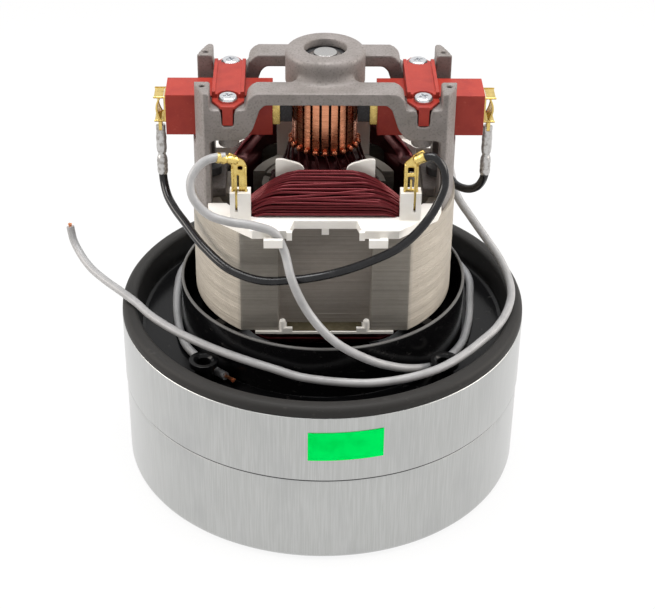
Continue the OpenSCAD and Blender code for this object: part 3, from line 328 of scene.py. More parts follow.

# %% [markdown]
# ## Metal finishes
# Galvanised sheet has fine upright streaks from drawing. Sheared steel laminations are browner. On the
# stack the round sides are painted lighter, as painted light from the side lamps, and the flats and the
# recess darker, as painted shade. Cast alloy is grainy where it left the mould. Brass, tin, zinc and
# copper differ mostly in colour and in how sharp their shine is, so each gets its own small stains and
# scratches; the commutator's lower bars and hooks are painted darker, as painted shade.

# %% Sheet steel, laminations and cast alloy
casing_steel = finish("casing_steel", (0.42, 0.425, 0.415), 1.0, 0.36, Coat_Weight=0.9, Coat_Roughness=0.35)
streaks = grain(casing_steel, 0.35, (1, 1, 45))
paint_stain_and_light(casing_steel, streaks, (0.53, 0.535, 0.53), 0.42, 0.62, 0.6)
paint_stain_and_light(casing_steel, grain(casing_steel, 16, (1, 1, 1.6)), (0.37, 0.375, 0.375), 0.5, 0.75, 0.5)
polish(casing_steel, streaks, 0.30, 0.42)
relief(casing_steel, streaks, 0.012, 0.2)

stage_steel = finish("stage_steel", (0.52, 0.53, 0.54), 1.0, 0.4)
paint_stain_and_light(stage_steel, grain(stage_steel, 6), (0.40, 0.41, 0.42), 0.45, 0.7)

lamination_steel = finish("lamination_steel", (0.28, 0.25, 0.22), 0.3, 0.5, Specular_IOR_Level=0.3)
# Painted light and shade: the recess and the flats keep a darker brown, and the round sides beyond 27.6 mm
# from the middle are painted much lighter, as the side lamps light them.
paint_stain_and_light(lamination_steel, from_middle(lamination_steel, 15.2, 15.7), (0.27, 0.25, 0.22), 0, 1)
paint_stain_and_light(lamination_steel, from_middle(lamination_steel, 27.6, 29.5), (0.47, 0.43, 0.37), 0, 1)
layers = grain(lamination_steel, 0.35, (500, 500, 1), 2.0)
paint_stain_and_light(lamination_steel, layers, (0.12, 0.11, 0.095), 0.5, 0.7, 0.3)
paint_stain_and_light(lamination_steel, grain(lamination_steel, 9), (0.30, 0.28, 0.25), 0.5, 0.75, 0.25)
polish(lamination_steel, grain(lamination_steel, 2), 0.4, 0.6)

dark_steel = finish("dark_steel", (0.12, 0.12, 0.125), 0.9, 0.45)
paint_stain_and_light(dark_steel, grain(dark_steel, 1.2), (0.2, 0.19, 0.18), 0.5, 0.7)

cast_alloy = finish("cast_alloy", (0.245, 0.222, 0.212), 0.15, 0.5, Specular_IOR_Level=0.3)
paint_stain_and_light(cast_alloy, grain(cast_alloy, 7), (0.18, 0.163, 0.15), 0.4, 0.7, 0.7)
pits = grain(cast_alloy, 0.7, detail=4.0)
paint_stain_and_light(cast_alloy, pits, (0.10, 0.095, 0.085), 0.52, 0.75, 0.6)
polish(cast_alloy, pits, 0.42, 0.62)
relief(cast_alloy, pits, 0.09, 0.45)
print("sheet and cast finishes ready")

# %% Screws, brass, springs, bearings and fans
zinc_screw = finish("zinc_screw", (0.66, 0.67, 0.69), 1.0, 0.24)
paint_stain_and_light(zinc_screw, grain(zinc_screw, 1.0), (0.48, 0.49, 0.52), 0.5, 0.75)

brass_sheet = finish("brass_sheet", (0.70, 0.53, 0.18), 1.0, 0.3)
paint_stain_and_light(brass_sheet, grain(brass_sheet, 2.2), (0.52, 0.37, 0.10), 0.5, 0.75, 0.8)
polish(brass_sheet, grain(brass_sheet, 1.0), 0.22, 0.42)

tinned_steel = finish("tinned_steel", (0.52, 0.51, 0.50), 1.0, 0.34)
paint_stain_and_light(tinned_steel, grain(tinned_steel, 1.3), (0.22, 0.20, 0.18), 0.48, 0.7, 0.8)

spring_steel = finish("spring_steel", (0.5, 0.5, 0.5), 1.0, 0.3)
paint_stain_and_light(spring_steel, grain(spring_steel, 1.0), (0.35, 0.34, 0.33), 0.5, 0.75)

bearing_steel = finish("bearing_steel", (0.6, 0.6, 0.61), 1.0, 0.16)
paint_stain_and_light(bearing_steel, grain(bearing_steel, 3), (0.5, 0.5, 0.5), 0.5, 0.8)

bearing_shield = finish("bearing_shield", (0.07, 0.07, 0.075), 0.3, 0.4)
paint_stain_and_light(bearing_shield, grain(bearing_shield, 1.5), (0.12, 0.12, 0.12), 0.5, 0.75)

shaft_steel = finish("shaft_steel", (0.46, 0.45, 0.44), 1.0, 0.24)
paint_stain_and_light(shaft_steel, grain(shaft_steel, 0.6, (8, 8, 1)), (0.45, 0.45, 0.45), 0.5, 0.7)

fan_aluminium = finish("fan_aluminium", (0.68, 0.69, 0.70), 1.0, 0.34)
paint_stain_and_light(fan_aluminium, grain(fan_aluminium, 5), (0.56, 0.57, 0.58), 0.45, 0.7)
print("small metals ready")

# %% Copper
commutator_copper = finish("commutator_copper", (0.66, 0.28, 0.16), 1.0, 0.28)
# Painted shade: the lower bars are painted darker and redder, and the hooks at their foot darker still,
# towards the winding.
paint_stain_and_light(commutator_copper, along(commutator_copper, "Z", 134, 128), (0.72, 0.22, 0.11), 0, 1, 0.8)
paint_stain_and_light(commutator_copper, along(commutator_copper, "Z", 127.6, 126.6), (0.30, 0.09, 0.05), 0, 1, 0.85)
turned_marks = grain(commutator_copper, 0.3, (30, 30, 1))
paint_stain_and_light(commutator_copper, turned_marks, (0.48, 0.20, 0.10), 0.5, 0.7, 0.6)
polish(commutator_copper, turned_marks, 0.22, 0.4)

bare_copper = finish("bare_copper", (0.70, 0.30, 0.15), 1.0, 0.32)
paint_stain_and_light(bare_copper, grain(bare_copper, 1.0), (0.5, 0.2, 0.1), 0.45, 0.7)
print("copper finishes ready")

# %% [markdown]
# ## Plastics, enamel and carbon
# The end plate is one black moulding, matt and scuffed on its rim and glossy in its dish, so its
# roughness follows the distance from the axis; the top of its collar's lip is painted light grey, a
# painted highlight. The brush boxes are red phenolic, the insulators white nylon, the wire has a clear
# dark red enamel, and the leads are soft PVC. Wire in shade, on the armature and in the cores under
# the field turns, gets a darker copy of the enamel: painted shade.

# %% Mouldings
black_moulding = finish("black_moulding", (0.004, 0.004, 0.0045), 0.0, 0.3, Specular_IOR_Level=0.16)
scuffs = grain(black_moulding, 2.4, (1, 1, 0.6), 5.0)
rim = from_axis(black_moulding, 64.8, 66.4)
paint_stain_and_light(black_moulding, rim, (0.026, 0.025, 0.024), 0, 1)
# Painted highlight: the top of the collar's lip, above 73 mm, is painted light grey for the bright line
# along it.
paint_stain_and_light(black_moulding, along(black_moulding, "Z", 72.8, 73.3), (0.15, 0.148, 0.145), 0, 1)
paint_stain_and_light(black_moulding, scuffs, (0.075, 0.072, 0.068), 0.62, 0.8, 0.45)
polish(black_moulding, rim, 0.2, 0.55, 0, 1)
relief(black_moulding, grain(black_moulding, 0.6), 0.035, 0.35)

white_moulding = finish("white_moulding", (0.93, 0.91, 0.87), 0.0, 0.42, Specular_IOR_Level=0.35)
paint_stain_and_light(white_moulding, grain(white_moulding, 8), (0.86, 0.83, 0.77), 0.45, 0.75, 0.7)
relief(white_moulding, grain(white_moulding, 0.8), 0.02, 0.2)

red_phenolic = finish("red_phenolic", (0.36, 0.036, 0.023), 0.0, 0.42, Specular_IOR_Level=0.24)
paint_stain_and_light(red_phenolic, grain(red_phenolic, 5), (0.29, 0.024, 0.018), 0.45, 0.7, 0.8)
paint_stain_and_light(red_phenolic, grain(red_phenolic, 0.9), (0.5, 0.09, 0.06), 0.62, 0.8, 0.5)
relief(red_phenolic, grain(red_phenolic, 0.6), 0.03, 0.3)
print("mouldings ready")

# %% Enamel, vinyl and the leads' covers
red_enamel_wire = finish("red_enamel_wire", (0.070, 0.004, 0.007), 0.0, 0.12, Specular_IOR_Level=0.75,
                         Specular_Tint=(1.0, 0.28, 0.30, 1))
paint_stain_and_light(red_enamel_wire, grain(red_enamel_wire, 3), (0.085, 0.008, 0.011), 0.45, 0.7)
paint_stain_and_light(red_enamel_wire, grain(red_enamel_wire, 1.0), (0.04, 0.003, 0.006), 0.55, 0.8, 0.7)

# Painted shade: a darker copy of the red enamel, for wire that lies in shade, on the armature and in the
# cores under the field turns.
painted_shade_enamel = finish("painted_shade_enamel", (0.022, 0.003, 0.004), 0.0, 0.3, Specular_IOR_Level=0.3,
                         Specular_Tint=(1.0, 0.45, 0.45, 1))
paint_stain_and_light(painted_shade_enamel, grain(painted_shade_enamel, 2), (0.040, 0.006, 0.007), 0.45, 0.7)

green_vinyl = finish("green_vinyl", (0.0, 0.95, 0.14), 0.0, 0.4, Specular_IOR_Level=0.0)
paint_stain_and_light(green_vinyl, grain(green_vinyl, 5), (0.0, 0.84, 0.11), 0.45, 0.7)
relief(green_vinyl, grain(green_vinyl, 2.5), 0.03, 0.25)

grey_pvc = finish("grey_pvc", (0.385, 0.385, 0.39), 0.0, 0.34, Specular_IOR_Level=0.4)
paint_stain_and_light(grey_pvc, grain(grey_pvc, 4), (0.335, 0.335, 0.34), 0.45, 0.7)
paint_stain_and_light(grey_pvc, grain(grey_pvc, 0.9), (0.45, 0.45, 0.45), 0.6, 0.8, 0.5)

black_pvc = finish("black_pvc", (0.006, 0.006, 0.007), 0.0, 0.2, Specular_IOR_Level=0.35)
paint_stain_and_light(black_pvc, grain(black_pvc, 3), (0.014, 0.014, 0.015), 0.45, 0.7)
print("enamel, vinyl and covers ready")

# %% Painted shade sheet, hub and carbon
# Painted shade: a dark brown finish for the sheet that darkens the top of each lower insulator.
painted_shade_sheet = finish("painted_shade_sheet", (0.075, 0.062, 0.035), 0.0, 0.7, Specular_IOR_Level=0.2)
paint_stain_and_light(painted_shade_sheet, grain(painted_shade_sheet, 2), (0.11, 0.095, 0.06), 0.45, 0.7)

brown_moulding = finish("brown_moulding", (0.06, 0.028, 0.014), 0.0, 0.4)
paint_stain_and_light(brown_moulding, grain(brown_moulding, 2), (0.09, 0.045, 0.022), 0.45, 0.7)

carbon = finish("carbon", (0.03, 0.03, 0.032), 0.2, 0.5)
paint_stain_and_light(carbon, grain(carbon, 0.7), (0.055, 0.055, 0.06), 0.5, 0.7)
relief(carbon, grain(carbon, 0.4), 0.03, 0.3)
print(len(bpy.data.materials), "materials with those of the CAD solids")

# %% [markdown]
# ## How a piece is made
# A piece is a list of points and faces. `put` makes the mesh in metres, joins points that coincide,
# turns all faces outwards, shades it smooth up to an angle, and lets it ride on its CAD body. `dress`
# is for a CAD solid that has the right shape: Weld joins its loose triangles and Bevel breaks its sharp
# edges.

# %% Put a mesh on its body
FRAME = "motor_frame"


def put(name, points, faces, made, slot, nodes=(), body=FRAME, crease=40):
    """A mesh from points in mm. Coinciding points merge, normals are recalculated outwards."""
    mesh = bpy.data.meshes.new(name)
    mesh.from_pydata((np.asarray(points) * MM).tolist(), [], [list(map(int, f)) for f in faces])
    shape = bmesh.new()
    shape.from_mesh(mesh)
    bmesh.ops.remove_doubles(shape, verts=shape.verts, dist=1e-7)
    bmesh.ops.recalc_face_normals(shape, faces=shape.faces)
    shape.to_mesh(mesh)
    shape.free()
    mesh.shade_smooth()
    mesh.set_sharp_from_angle(angle=math.radians(crease))
    mesh.materials.append(made)
    obj = add(name, mesh)
    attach(obj, body)
    if nodes:
        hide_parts(*nodes)
    print(name, len(mesh.polygons), "faces")
    return obj


print("pieces ride on", FRAME, "unless they turn")

# %% Dress a CAD solid
def dress(made, edge, *nodes):
    """Finish and broken edges, `edge` mm wide, for CAD solids that stay."""
    for node in nodes:
        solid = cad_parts[node]
        solid.data.materials.clear()
        solid.data.materials.append(made)
        join = solid.modifiers.new("join", "WELD")
        join.merge_threshold = 1e-6
        if edge:
            flat = solid.modifiers.new("flat", "DECIMATE")
            flat.decimate_type = "DISSOLVE"
            flat.angle_limit = math.radians(1)
            round_off = solid.modifiers.new("round_off", "BEVEL")
            round_off.width = edge * MM
            round_off.segments = 2
            round_off.limit_method = "ANGLE"
            round_off.angle_limit = math.radians(40)
        solid.modifiers.new("shade", "WEIGHTED_NORMAL").keep_sharp = True
    print(made.name, "on", ", ".join(nodes))


print("edges can be broken on", len(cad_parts), "solids")

# %% Grids, turned profiles and arcs
def ring_faces(rows, count, wrap=False):
    """Quads between neighbouring rows of a grid whose columns close on themselves."""
    row = np.arange(rows if wrap else rows - 1)[:, None]
    col = np.arange(count)[None, :]
    ahead = (row + 1) % rows
    beside = (col + 1) % count
    return np.stack([row * count + col, row * count + beside, ahead * count + beside, ahead * count + col],
                    -1).reshape(-1, 4)


def turned(profile, steps, wrap=True):
    """A profile of (radius, height) carried round Z: x = r cos a, y = r sin a."""
    line = np.array(profile, float)
    angle = np.linspace(0, 2 * np.pi, steps, endpoint=False)
    x = line[:, :1] * np.cos(angle)
    y = line[:, :1] * np.sin(angle)
    z = np.repeat(line[:, 1:], steps, 1)
    return np.stack([x, y, z], -1).reshape(-1, 3), ring_faces(len(line), steps, wrap)


def arc(centre, radius, start, end, steps=8):
    """Points on a circle from one angle to another, in degrees."""
    angle = np.radians(np.linspace(start, end, steps + 1))
    return np.column_stack([centre[0] + radius * np.cos(angle), centre[1] + radius * np.sin(angle)])


def merged(*parts):
    """Several surfaces as one list of points and faces."""
    points = np.concatenate([np.asarray(p[0], float) for p in parts])
    starts = np.cumsum([0] + [len(p[0]) for p in parts[:-1]])
    faces = [face for start, p in zip(starts, parts) for face in (np.add(f, start) for f in p[1])]
    return points, faces


print("grid tools: ring_faces, turned, arc and merged")

# %% [markdown]
# ## Leads
# Four leads run in free curves over the motor. A real lead bends smoothly, so a cubic goes through the
# listed points of its route, with the slope, at each point, of the parabola through it and its two
# neighbours. A round wall is then carried along it. The two grey leads end in bare strands, cut and
# twisted as a fitter leaves them.

# %% Lead routes
LEAD_D = 2.9
JUMPER_FRONT = [[-55.4, 0, 115], [-55.4, 0, 112.2], [-54.9, -1.6, 109], [-53.8, -4.8, 106.6],
                [-51.4, -10.2, 104.9], [-47.2, -18, 103.3], [-40, -30, 100.4], [-30.7, -39, 97],
                [-20.9, -42.5, 95.4], [-11.7, -43, 95.9], [1.4, -43.2, 98.3], [14.4, -43.5, 103.4],
                [24.1, -43, 108.7], [31.1, -40, 114.3], [36.2, -36.8, 121.4], [38.4, -33.9, 127.4],
                [37.4, -32, 132.5], [34.4, -30.9, 135.2], [30.7, -30, 134.4]]
JUMPER_BACK = [[55.4, 0, 115], [55.4, 0, 112.2], [54.9, 1.4, 109], [53.6, 3.8, 105.4], [51.2, 6.8, 102.8],
               [47.6, 11.2, 101.6], [44.5, 18.5, 102.2], [38, 30, 102], [28.5, 39.5, 101],
               [16, 45.5, 100.5], [1, 47.5, 101.5], [-13.5, 47, 105], [-24, 45.2, 110],
               [-31.1, 41, 115], [-36.2, 36.8, 121.4], [-38.4, 33.9, 127.4], [-37.4, 32, 132.5],
               [-34.4, 30.9, 135.2], [-30.7, 30, 134.4]]
LEAD_FRONT = [[-32.4, -30.3, 134.7], [-35.4, -30.7, 134.7], [-39.1, -31.6, 133.8], [-42.1, -33.2, 131.3],
              [-43.6, -35, 128.1], [-43.1, -37, 124.1], [-40.7, -38.6, 120.8], [-37.3, -40, 118.5],
              [-32, -40.7, 116.9], [-23.2, -40.6, 115.1], [-16.6, -40.4, 112.2], [-13.8, -40.8, 106.6],
              [-11.2, -46.2, 98.6], [-5, -49, 86], [3.2, -51.4, 77.2], [13.3, -52, 71], [24, -48, 64.6],
              [33, -42, 60], [38, -36.7, 57.4], [43.5, -29.6, 56], [48.3, -21.5, 55.6], [52, -8.5, 55.6],
              [54.2, 8, 55.6], [54.8, 25.5, 55.6], [46.06, 43.46, 55.6], [25, 58.2, 55.6], [0, 63.3, 55.6],
              [-25, 58.2, 55.6], [-46.06, 43.46, 55.6], [-52.4, 28.8, 55.6], [-53.4, 15, 55.6],
              [-52.8, 1, 55.6], [-50.9, -12, 55.6], [-48.3, -21.5, 55.6], [-43.5, -29.6, 55.6],
              [-38, -36.7, 55.8], [-33.6, -41.6, 56.4]]
LEAD_BACK = [[32.4, 30.3, 134.7], [35.4, 30.8, 134.6], [39.2, 31.8, 133.4], [42.4, 33.2, 129.4],
             [43.8, 33.6, 122.8], [44.2, 31.8, 115.4], [44.6, 27.6, 108.4], [46, 22.8, 101.4],
             [48.2, 17, 94.6], [53.6, 12, 87.8], [59, 8, 81.3], [63.6, 4.2, 75.6], [66.5, -0.8, 70.8],
             [66.9, -8, 68.4], [65.2, -15, 67], [60, -26, 66], [53.9, -34.3, 65.8], [46, -43.2, 65.4],
             [38.8, -49.4, 65.2], [30.8, -53.6, 65], [22.3, -56, 64.6], [14, -56.5, 64], [6, -55.4, 63.6],
             [-2, -53.9, 63.5], [-8.6, -52.3, 63.7], [-16.7, -49.8, 65], [-26.2, -45.5, 65.6],
             [-40.7, -36.2, 65.6], [-50.3, -28.9, 65.9], [-60.7, -18.1, 66], [-66.6, -9.7, 66.1],
             [-71.6, -4.7, 67], [-78.3, 2.6, 67.5], [-84.3, 9.9, 68.5], [-88.5, 16.4, 70.5],
             [-91, 19.8, 74], [-92, 21.2, 79]]
print("four routes of", [len(r) for r in (JUMPER_FRONT, JUMPER_BACK, LEAD_FRONT, LEAD_BACK)], "points")

# %% Carry a round wall along a route
LEAD_STEP = 0.9
TRIES = 400


def smooth_path(points, step):
    """A cubic between each pair of points. Its slope at a point is that of the parabola through the point
    and its two neighbours."""
    knots = np.array(points, float)
    reach = np.concatenate([[0], np.cumsum(np.linalg.norm(np.diff(knots, axis=0), axis=1))])
    slopes = np.gradient(knots, reach, axis=0)
    at = np.linspace(0, reach[-1], int(reach[-1] / step) + 2)
    i = np.clip(np.searchsorted(reach, at, side="right") - 1, 0, len(knots) - 2)
    span = (reach[i + 1] - reach[i])[:, None]
    t = (at - reach[i])[:, None] / span
    start = (1 + 2 * t) * (1 - t) ** 2 * knots[i] + t * (1 - t) ** 2 * span * slopes[i]
    end = t ** 2 * (3 - 2 * t) * knots[i + 1] - t ** 2 * (1 - t) * span * slopes[i + 1]
    return start + end


def path_length(path):
    """The sum of the steps from point to point."""
    return float(np.linalg.norm(np.diff(path, axis=0), axis=1).sum())


def clear_direction(tangents):
    """Of many directions spread over a ball, the one that lies furthest from every tangent."""
    k = np.arange(TRIES) + 0.5
    polar = np.arccos(1 - 2 * k / TRIES)
    around = np.pi * (1 + 5 ** 0.5) * k
    tries = np.column_stack([np.cos(around) * np.sin(polar), np.sin(around) * np.sin(polar), np.cos(polar)])
    return tries[np.abs(tries @ tangents.T).max(1).argmin()]


def tube(path, radius, sides=14):
    """Rings square to a path. Each ring's first axis is the tangent crossed with one clear direction.
    A ring of no width closes each end: its points merge to the middle."""
    line = np.array(path, float)
    width = np.broadcast_to(np.asarray(radius, float), len(line))
    line = np.concatenate([line[:1], line, line[-1:]])
    width = np.concatenate([[0], width, [0]])
    tangent = np.gradient(line, axis=0)
    tangent[0] = tangent[1]
    tangent[-1] = tangent[-2]
    tangent = tangent / np.linalg.norm(tangent, axis=1, keepdims=True)
    first = np.cross(tangent, clear_direction(tangent))
    first = first / np.linalg.norm(first, axis=1, keepdims=True)
    second = np.cross(tangent, first)
    angle = np.linspace(0, 2 * np.pi, sides, endpoint=False)[None, :, None]
    ring = first[:, None] * np.cos(angle) + second[:, None] * np.sin(angle)
    points = line[:, None] + ring * width[:, None, None]
    return points.reshape(-1, 3), ring_faces(len(line), sides)


print("a ring at every", LEAD_STEP, "mm of a lead")

# %% Make the leads and their bare strands
STRAND_R = 0.26
STRANDS = 9
STRAND_SPREAD = 0.527
STRAND_TURN = 2.4
STRAND_TWIST = 1.1
BARE_FRONT = 4.5
BARE_BACK = 1.2


def bare_strands(name, path, node, length):
    """Copper wires that start inside the lead's end and fan out, each by its own share."""
    end = path[-1]
    way = end - path[-3]
    way = way / np.linalg.norm(way)
    side = np.cross(way, [0, 0, 1.0])
    side = side / np.linalg.norm(side)
    rise = np.cross(side, way)
    wires = []
    for k in range(STRANDS):
        spread = STRAND_SPREAD * math.sqrt((k + 0.3) / STRANDS) * LEAD_D / 2
        t = np.linspace(-0.15, 1, 9)[:, None]
        twist = STRAND_TURN * k + STRAND_TWIST * t
        fan = spread * (0.55 + 0.45 * t ** 2) * (side * np.cos(twist) + rise * np.sin(twist))
        reach = length * (1 - 0.08 * (k % 3))
        wires.append(tube(end + way * t * reach + fan, STRAND_R, 8))
    return put(name, *merged(*wires), bare_copper, "bare_copper", [node])


def lead(name, node, route, made, slot, strands="", bare=0):
    """A lead of 2.9 mm along its route. Its length is printed."""
    path = smooth_path(route, LEAD_STEP)
    obj = put(name, *tube(path, LEAD_D / 2), made, slot, [node])
    pieces = [bare_strands(strands, path, node + "_strands", bare)] if strands else []
    print(name, "is", round(path_length(path)), "mm long")


lead("black_jumper_front", "jumper_front", JUMPER_FRONT, black_pvc, "black_pvc")
lead("black_jumper_back", "jumper_back", JUMPER_BACK, black_pvc, "black_pvc")
lead("grey_lead_front", "lead_front", LEAD_FRONT, grey_pvc, "grey_pvc", "copper_strands_front",
     BARE_FRONT)
lead("grey_lead_back", "lead_back", LEAD_BACK, grey_pvc, "grey_pvc", "copper_strands_back",
     BARE_BACK)

# %% [markdown]
# ## Casing shells
# Two shells of galvanised sheet are pressed over each other. Each is a profile turned round the axis,
# with rolled edges instead of sharp ones. Pressed sheet is never quite round, so the radius swells and
# sinks by a few hundredths round the wall: enough for the long reflections to waver as they do on real
# sheet. A dark ring in the seam is painted shadow: it stands for the shade under the upper shell's edge.

# %% Turn the two shells
CASING_R = 72.0
SHEET = 0.8
SEAM_Z = 35.0
STEEL_TOP = 60.6
LOWER_R = 71.7
LAP_R = 71.1
LAP_TOP = 40.0
INLET_R = 18.0
NECK_TOP = 7.0
BOTTOM_ROUND = 3.0
LOW_ROLL = 0.3
TOP_ROLL = 0.35
INLET_ROLL = 1.2
INLET_CHAMFER = 0.35
WAVE_PEAK = 2.1
UPPER_WAVE = 0.028
LOWER_WAVE = 0.022
STILL_BAND = 20.0
SHELL_STEPS = 288


def wavy(points, depth):
    """Moves a wall inwards by slow waves round the axis. What lies near the inlet stays."""
    x, y, z = points.T
    angle = np.arctan2(y, x)
    radius = np.hypot(x, y)
    long_wave = np.sin(5 * angle + 0.09 * z)
    middle_wave = 0.7 * np.sin(11 * angle - 0.2 * z + 1.3)
    short_wave = 0.4 * np.sin(23 * angle + 0.31 * z)
    move = depth * (long_wave + middle_wave + short_wave - WAVE_PEAK)
    swell = 1 + np.where(radius > INLET_R + STILL_BAND, move, 0) / np.maximum(radius, 1)
    return np.column_stack([x * swell, y * swell, z])


upper_profile = np.concatenate([
    arc((CASING_R - LOW_ROLL, SEAM_Z + LOW_ROLL), LOW_ROLL, -90, 0, 3),
    [[CASING_R, h] for h in np.linspace(SEAM_Z + 2, STEEL_TOP - 1.6, 9)],
    arc((CASING_R - TOP_ROLL, STEEL_TOP - TOP_ROLL), TOP_ROLL, 0, 90, 4),
    [[CASING_R - SHEET, STEEL_TOP], [CASING_R - SHEET, SEAM_Z]]])
points, faces = turned(upper_profile, SHELL_STEPS)
put("upper_shell", wavy(points, UPPER_WAVE), faces, casing_steel, "casing_steel", ["upper_casing"])

lower_profile = np.concatenate([
    [[INLET_R, INLET_CHAMFER], [INLET_R, NECK_TOP], [INLET_R + SHEET, NECK_TOP]],
    arc((INLET_R + SHEET + INLET_ROLL, SHEET + INLET_ROLL), INLET_ROLL, 180, 270, 4),
    arc((LOWER_R - BOTTOM_ROUND, BOTTOM_ROUND), BOTTOM_ROUND - SHEET, -90, 0),
    [[LOWER_R - SHEET, SEAM_Z - 1.4], [LAP_R - SHEET, SEAM_Z - 0.4], [LAP_R - SHEET, LAP_TOP]],
    [[LAP_R, LAP_TOP], [LAP_R, SEAM_Z - 0.6], [LOWER_R - 0.2, SEAM_Z - 0.65], [LOWER_R, SEAM_Z - 1.0]],
    [[LOWER_R, h] for h in np.linspace(SEAM_Z - 2.5, BOTTOM_ROUND + 1, 10)],
    arc((LOWER_R - BOTTOM_ROUND, BOTTOM_ROUND), BOTTOM_ROUND, 0, -90, 10),
    [[INLET_R + INLET_CHAMFER, 0]]])
points, faces = turned(lower_profile, SHELL_STEPS)
put("lower_shell", wavy(points, LOWER_WAVE), faces, casing_steel, "casing_steel", ["lower_casing"])

# Painted shadow: a dark ring in the seam stands for the shade under the upper shell's edge.
seam_shadow_profile = np.concatenate([
    [[LAP_R - 0.2, SEAM_Z - 0.58]], arc((LOWER_R - 0.3, SEAM_Z - 0.48), 0.1, -90, 0, 2),
    arc((LOWER_R - 0.3, SEAM_Z - 0.12), 0.1, 0, 90, 2), [[LAP_R - 0.2, SEAM_Z - 0.02]]])
put("painted_seam_shadow", *turned(seam_shadow_profile, SHELL_STEPS), carbon, "black_moulding")

# %% [markdown]
# ## Laminated stator
# The stator is a stack of about 76 punched sheets. Drawing each sheet would be slow and needless: one
# outline with its holes is repeated at three heights per sheet, set back a little at each joint, and
# each sheet lies back by its own hair's breadth. The light then draws the fine level lines by itself.

# %% Outlines with rounded corners
def rounded(corners, radius, steps=4):
    """Cuts each corner at a distance along both edges and joins the cuts by a quadratic curve."""
    corner = np.array(corners, float)
    back = np.roll(corner, 1, 0) - corner
    ahead = np.roll(corner, -1, 0) - corner
    back_len = np.linalg.norm(back, axis=1)
    ahead_len = np.linalg.norm(ahead, axis=1)
    cut = np.minimum(np.broadcast_to(radius, len(corner)), 0.48 * np.minimum(back_len, ahead_len))[:, None]
    start = corner + back / back_len[:, None] * cut
    end = corner + ahead / ahead_len[:, None] * cut
    t = np.linspace(0, 1, steps + 1)[None, :, None]
    line = (1 - t) ** 2 * start[:, None] + 2 * t * (1 - t) * corner[:, None] + t ** 2 * end[:, None]
    return line.reshape(-1, 2)


def facing(loop, inner):
    """Outer lines run anticlockwise and holes clockwise, so that the material is always on the left."""
    loop = np.asarray(loop, float)
    area = np.sum(loop[:, 0] * np.roll(loop[:, 1], -1) - np.roll(loop[:, 0], -1) * loop[:, 1])
    return loop[::-1] if (area > 0) == inner else loop


def inset_line(loop, depth):
    """Moves an outline into the material: by the sum of both edge normals over one plus their product."""
    step = np.roll(loop, -1, 0) - loop
    step = step / np.maximum(np.linalg.norm(step, axis=1, keepdims=True), 1e-9)
    normal = np.column_stack([-step[:, 1], step[:, 0]])
    before = np.roll(normal, 1, 0)
    share = 1 + (normal * before).sum(1, keepdims=True)
    return loop + depth * (normal + before) / np.maximum(share, 0.4)


print("outline tools: rounded, facing and inset_line")

# %% Solids with holes
RIM_STEPS = 2


def block(loops, levels, axes=(0, 1, 2)):
    """A solid between outlines. loops: the outer line, then holes. levels: (height, inset) of each row
    of points. axes says which of X, Y, Z the outline's two directions and the height run along."""
    lines = [facing(loop, k > 0) for k, loop in enumerate(loops)]
    parts = []
    for line in lines:
        rows = [np.column_stack([inset_line(line, inset), np.full(len(line), h)]) for h, inset in levels]
        parts.append((np.concatenate(rows), ring_faces(len(levels), len(line))))
    points, faces = merged(*parts)
    starts = np.cumsum([0] + [len(p[0]) for p in parts[:-1]])
    for end in (0, len(levels) - 1):
        flat = [[(*p, 0) for p in inset_line(line, levels[end][1])] for line in lines]
        order = np.concatenate([start + end * len(line) + np.arange(len(line))
                                for start, line in zip(starts, lines)])
        faces = faces + [order[list(t)] for t in tessellate_polygon(flat)]
    placed = np.empty_like(points)
    placed[:, list(axes)] = points
    return placed, faces


def rimmed(low, high, edge):
    """Levels of a solid with rounded rims, quarter circles of `edge` mm. The first and the last level lie
    below their rims, so each face is `edge` mm deep in its rim, and the wall is as far in."""
    a = np.linspace(0, np.pi / 2, RIM_STEPS + 1)
    first = [(low + edge * (1 - math.sin(t)), edge * (1 - math.cos(t))) for t in a]
    second = [(high - edge * (1 - math.sin(t)), edge * (1 - math.cos(t))) for t in a[::-1]]
    return first + second


print("solid tools: block and rimmed")

# %% Stack the laminations
STACK_R = 45.2
FLAT_Y = 35.2
STACK_LOW = 71.0
STACK_TOP = 109.0
RECESS_HALF = 15.5
RECESS_DEEP = 5.0
BORE_R = 22.0
SLOT_IN_R = 26.0
SLOT_OUT_R = 37.0
YOKE_X = 30.0
BOLT_X = 38.5
BOLT_R = 2.0
BOLT_ROOM = 0.1
SHEETS = 76
JOINT_DEEP = 0.16
MOST_SUNK = 0.075


def mirrored(quarter):
    """A quarter outline from the Y axis to the X axis, turned into the closed whole by two mirrors."""
    half = np.concatenate([quarter, (quarter * [1, -1])[::-1]])
    return np.concatenate([half, (half * [-1, 1])[::-1]])


corner = math.degrees(math.asin(FLAT_Y / STACK_R))
outer_quarter = np.concatenate([
    rounded([[0, FLAT_Y - RECESS_DEEP], [RECESS_HALF, FLAT_Y - RECESS_DEEP], [RECESS_HALF, FLAT_Y],
             [STACK_R * math.cos(math.radians(corner)), FLAT_Y]], [0, 0.5, 0.5, 0], 2)[2:-2],
    arc((0, 0), STACK_R, corner, 1.5, 17)])
inner_quarter = np.concatenate([
    arc((0, 0), BORE_R, 88, 21.3, 14), arc((0, 0), SLOT_IN_R, 17.9, 50.6, 7), [[16.5, 28]],
    arc((0, 0), SLOT_OUT_R, 49.2, 12.5, 8), [[YOKE_X, 8], [YOKE_X, 1]]])
bolt_hole = arc((0, 0), BOLT_R + BOLT_ROOM, 0, 345, 23)
luck = np.random.default_rng(7)
pitch = (STACK_TOP - STACK_LOW) / SHEETS
sunk = luck.uniform(0.0, MOST_SUNK, SHEETS)
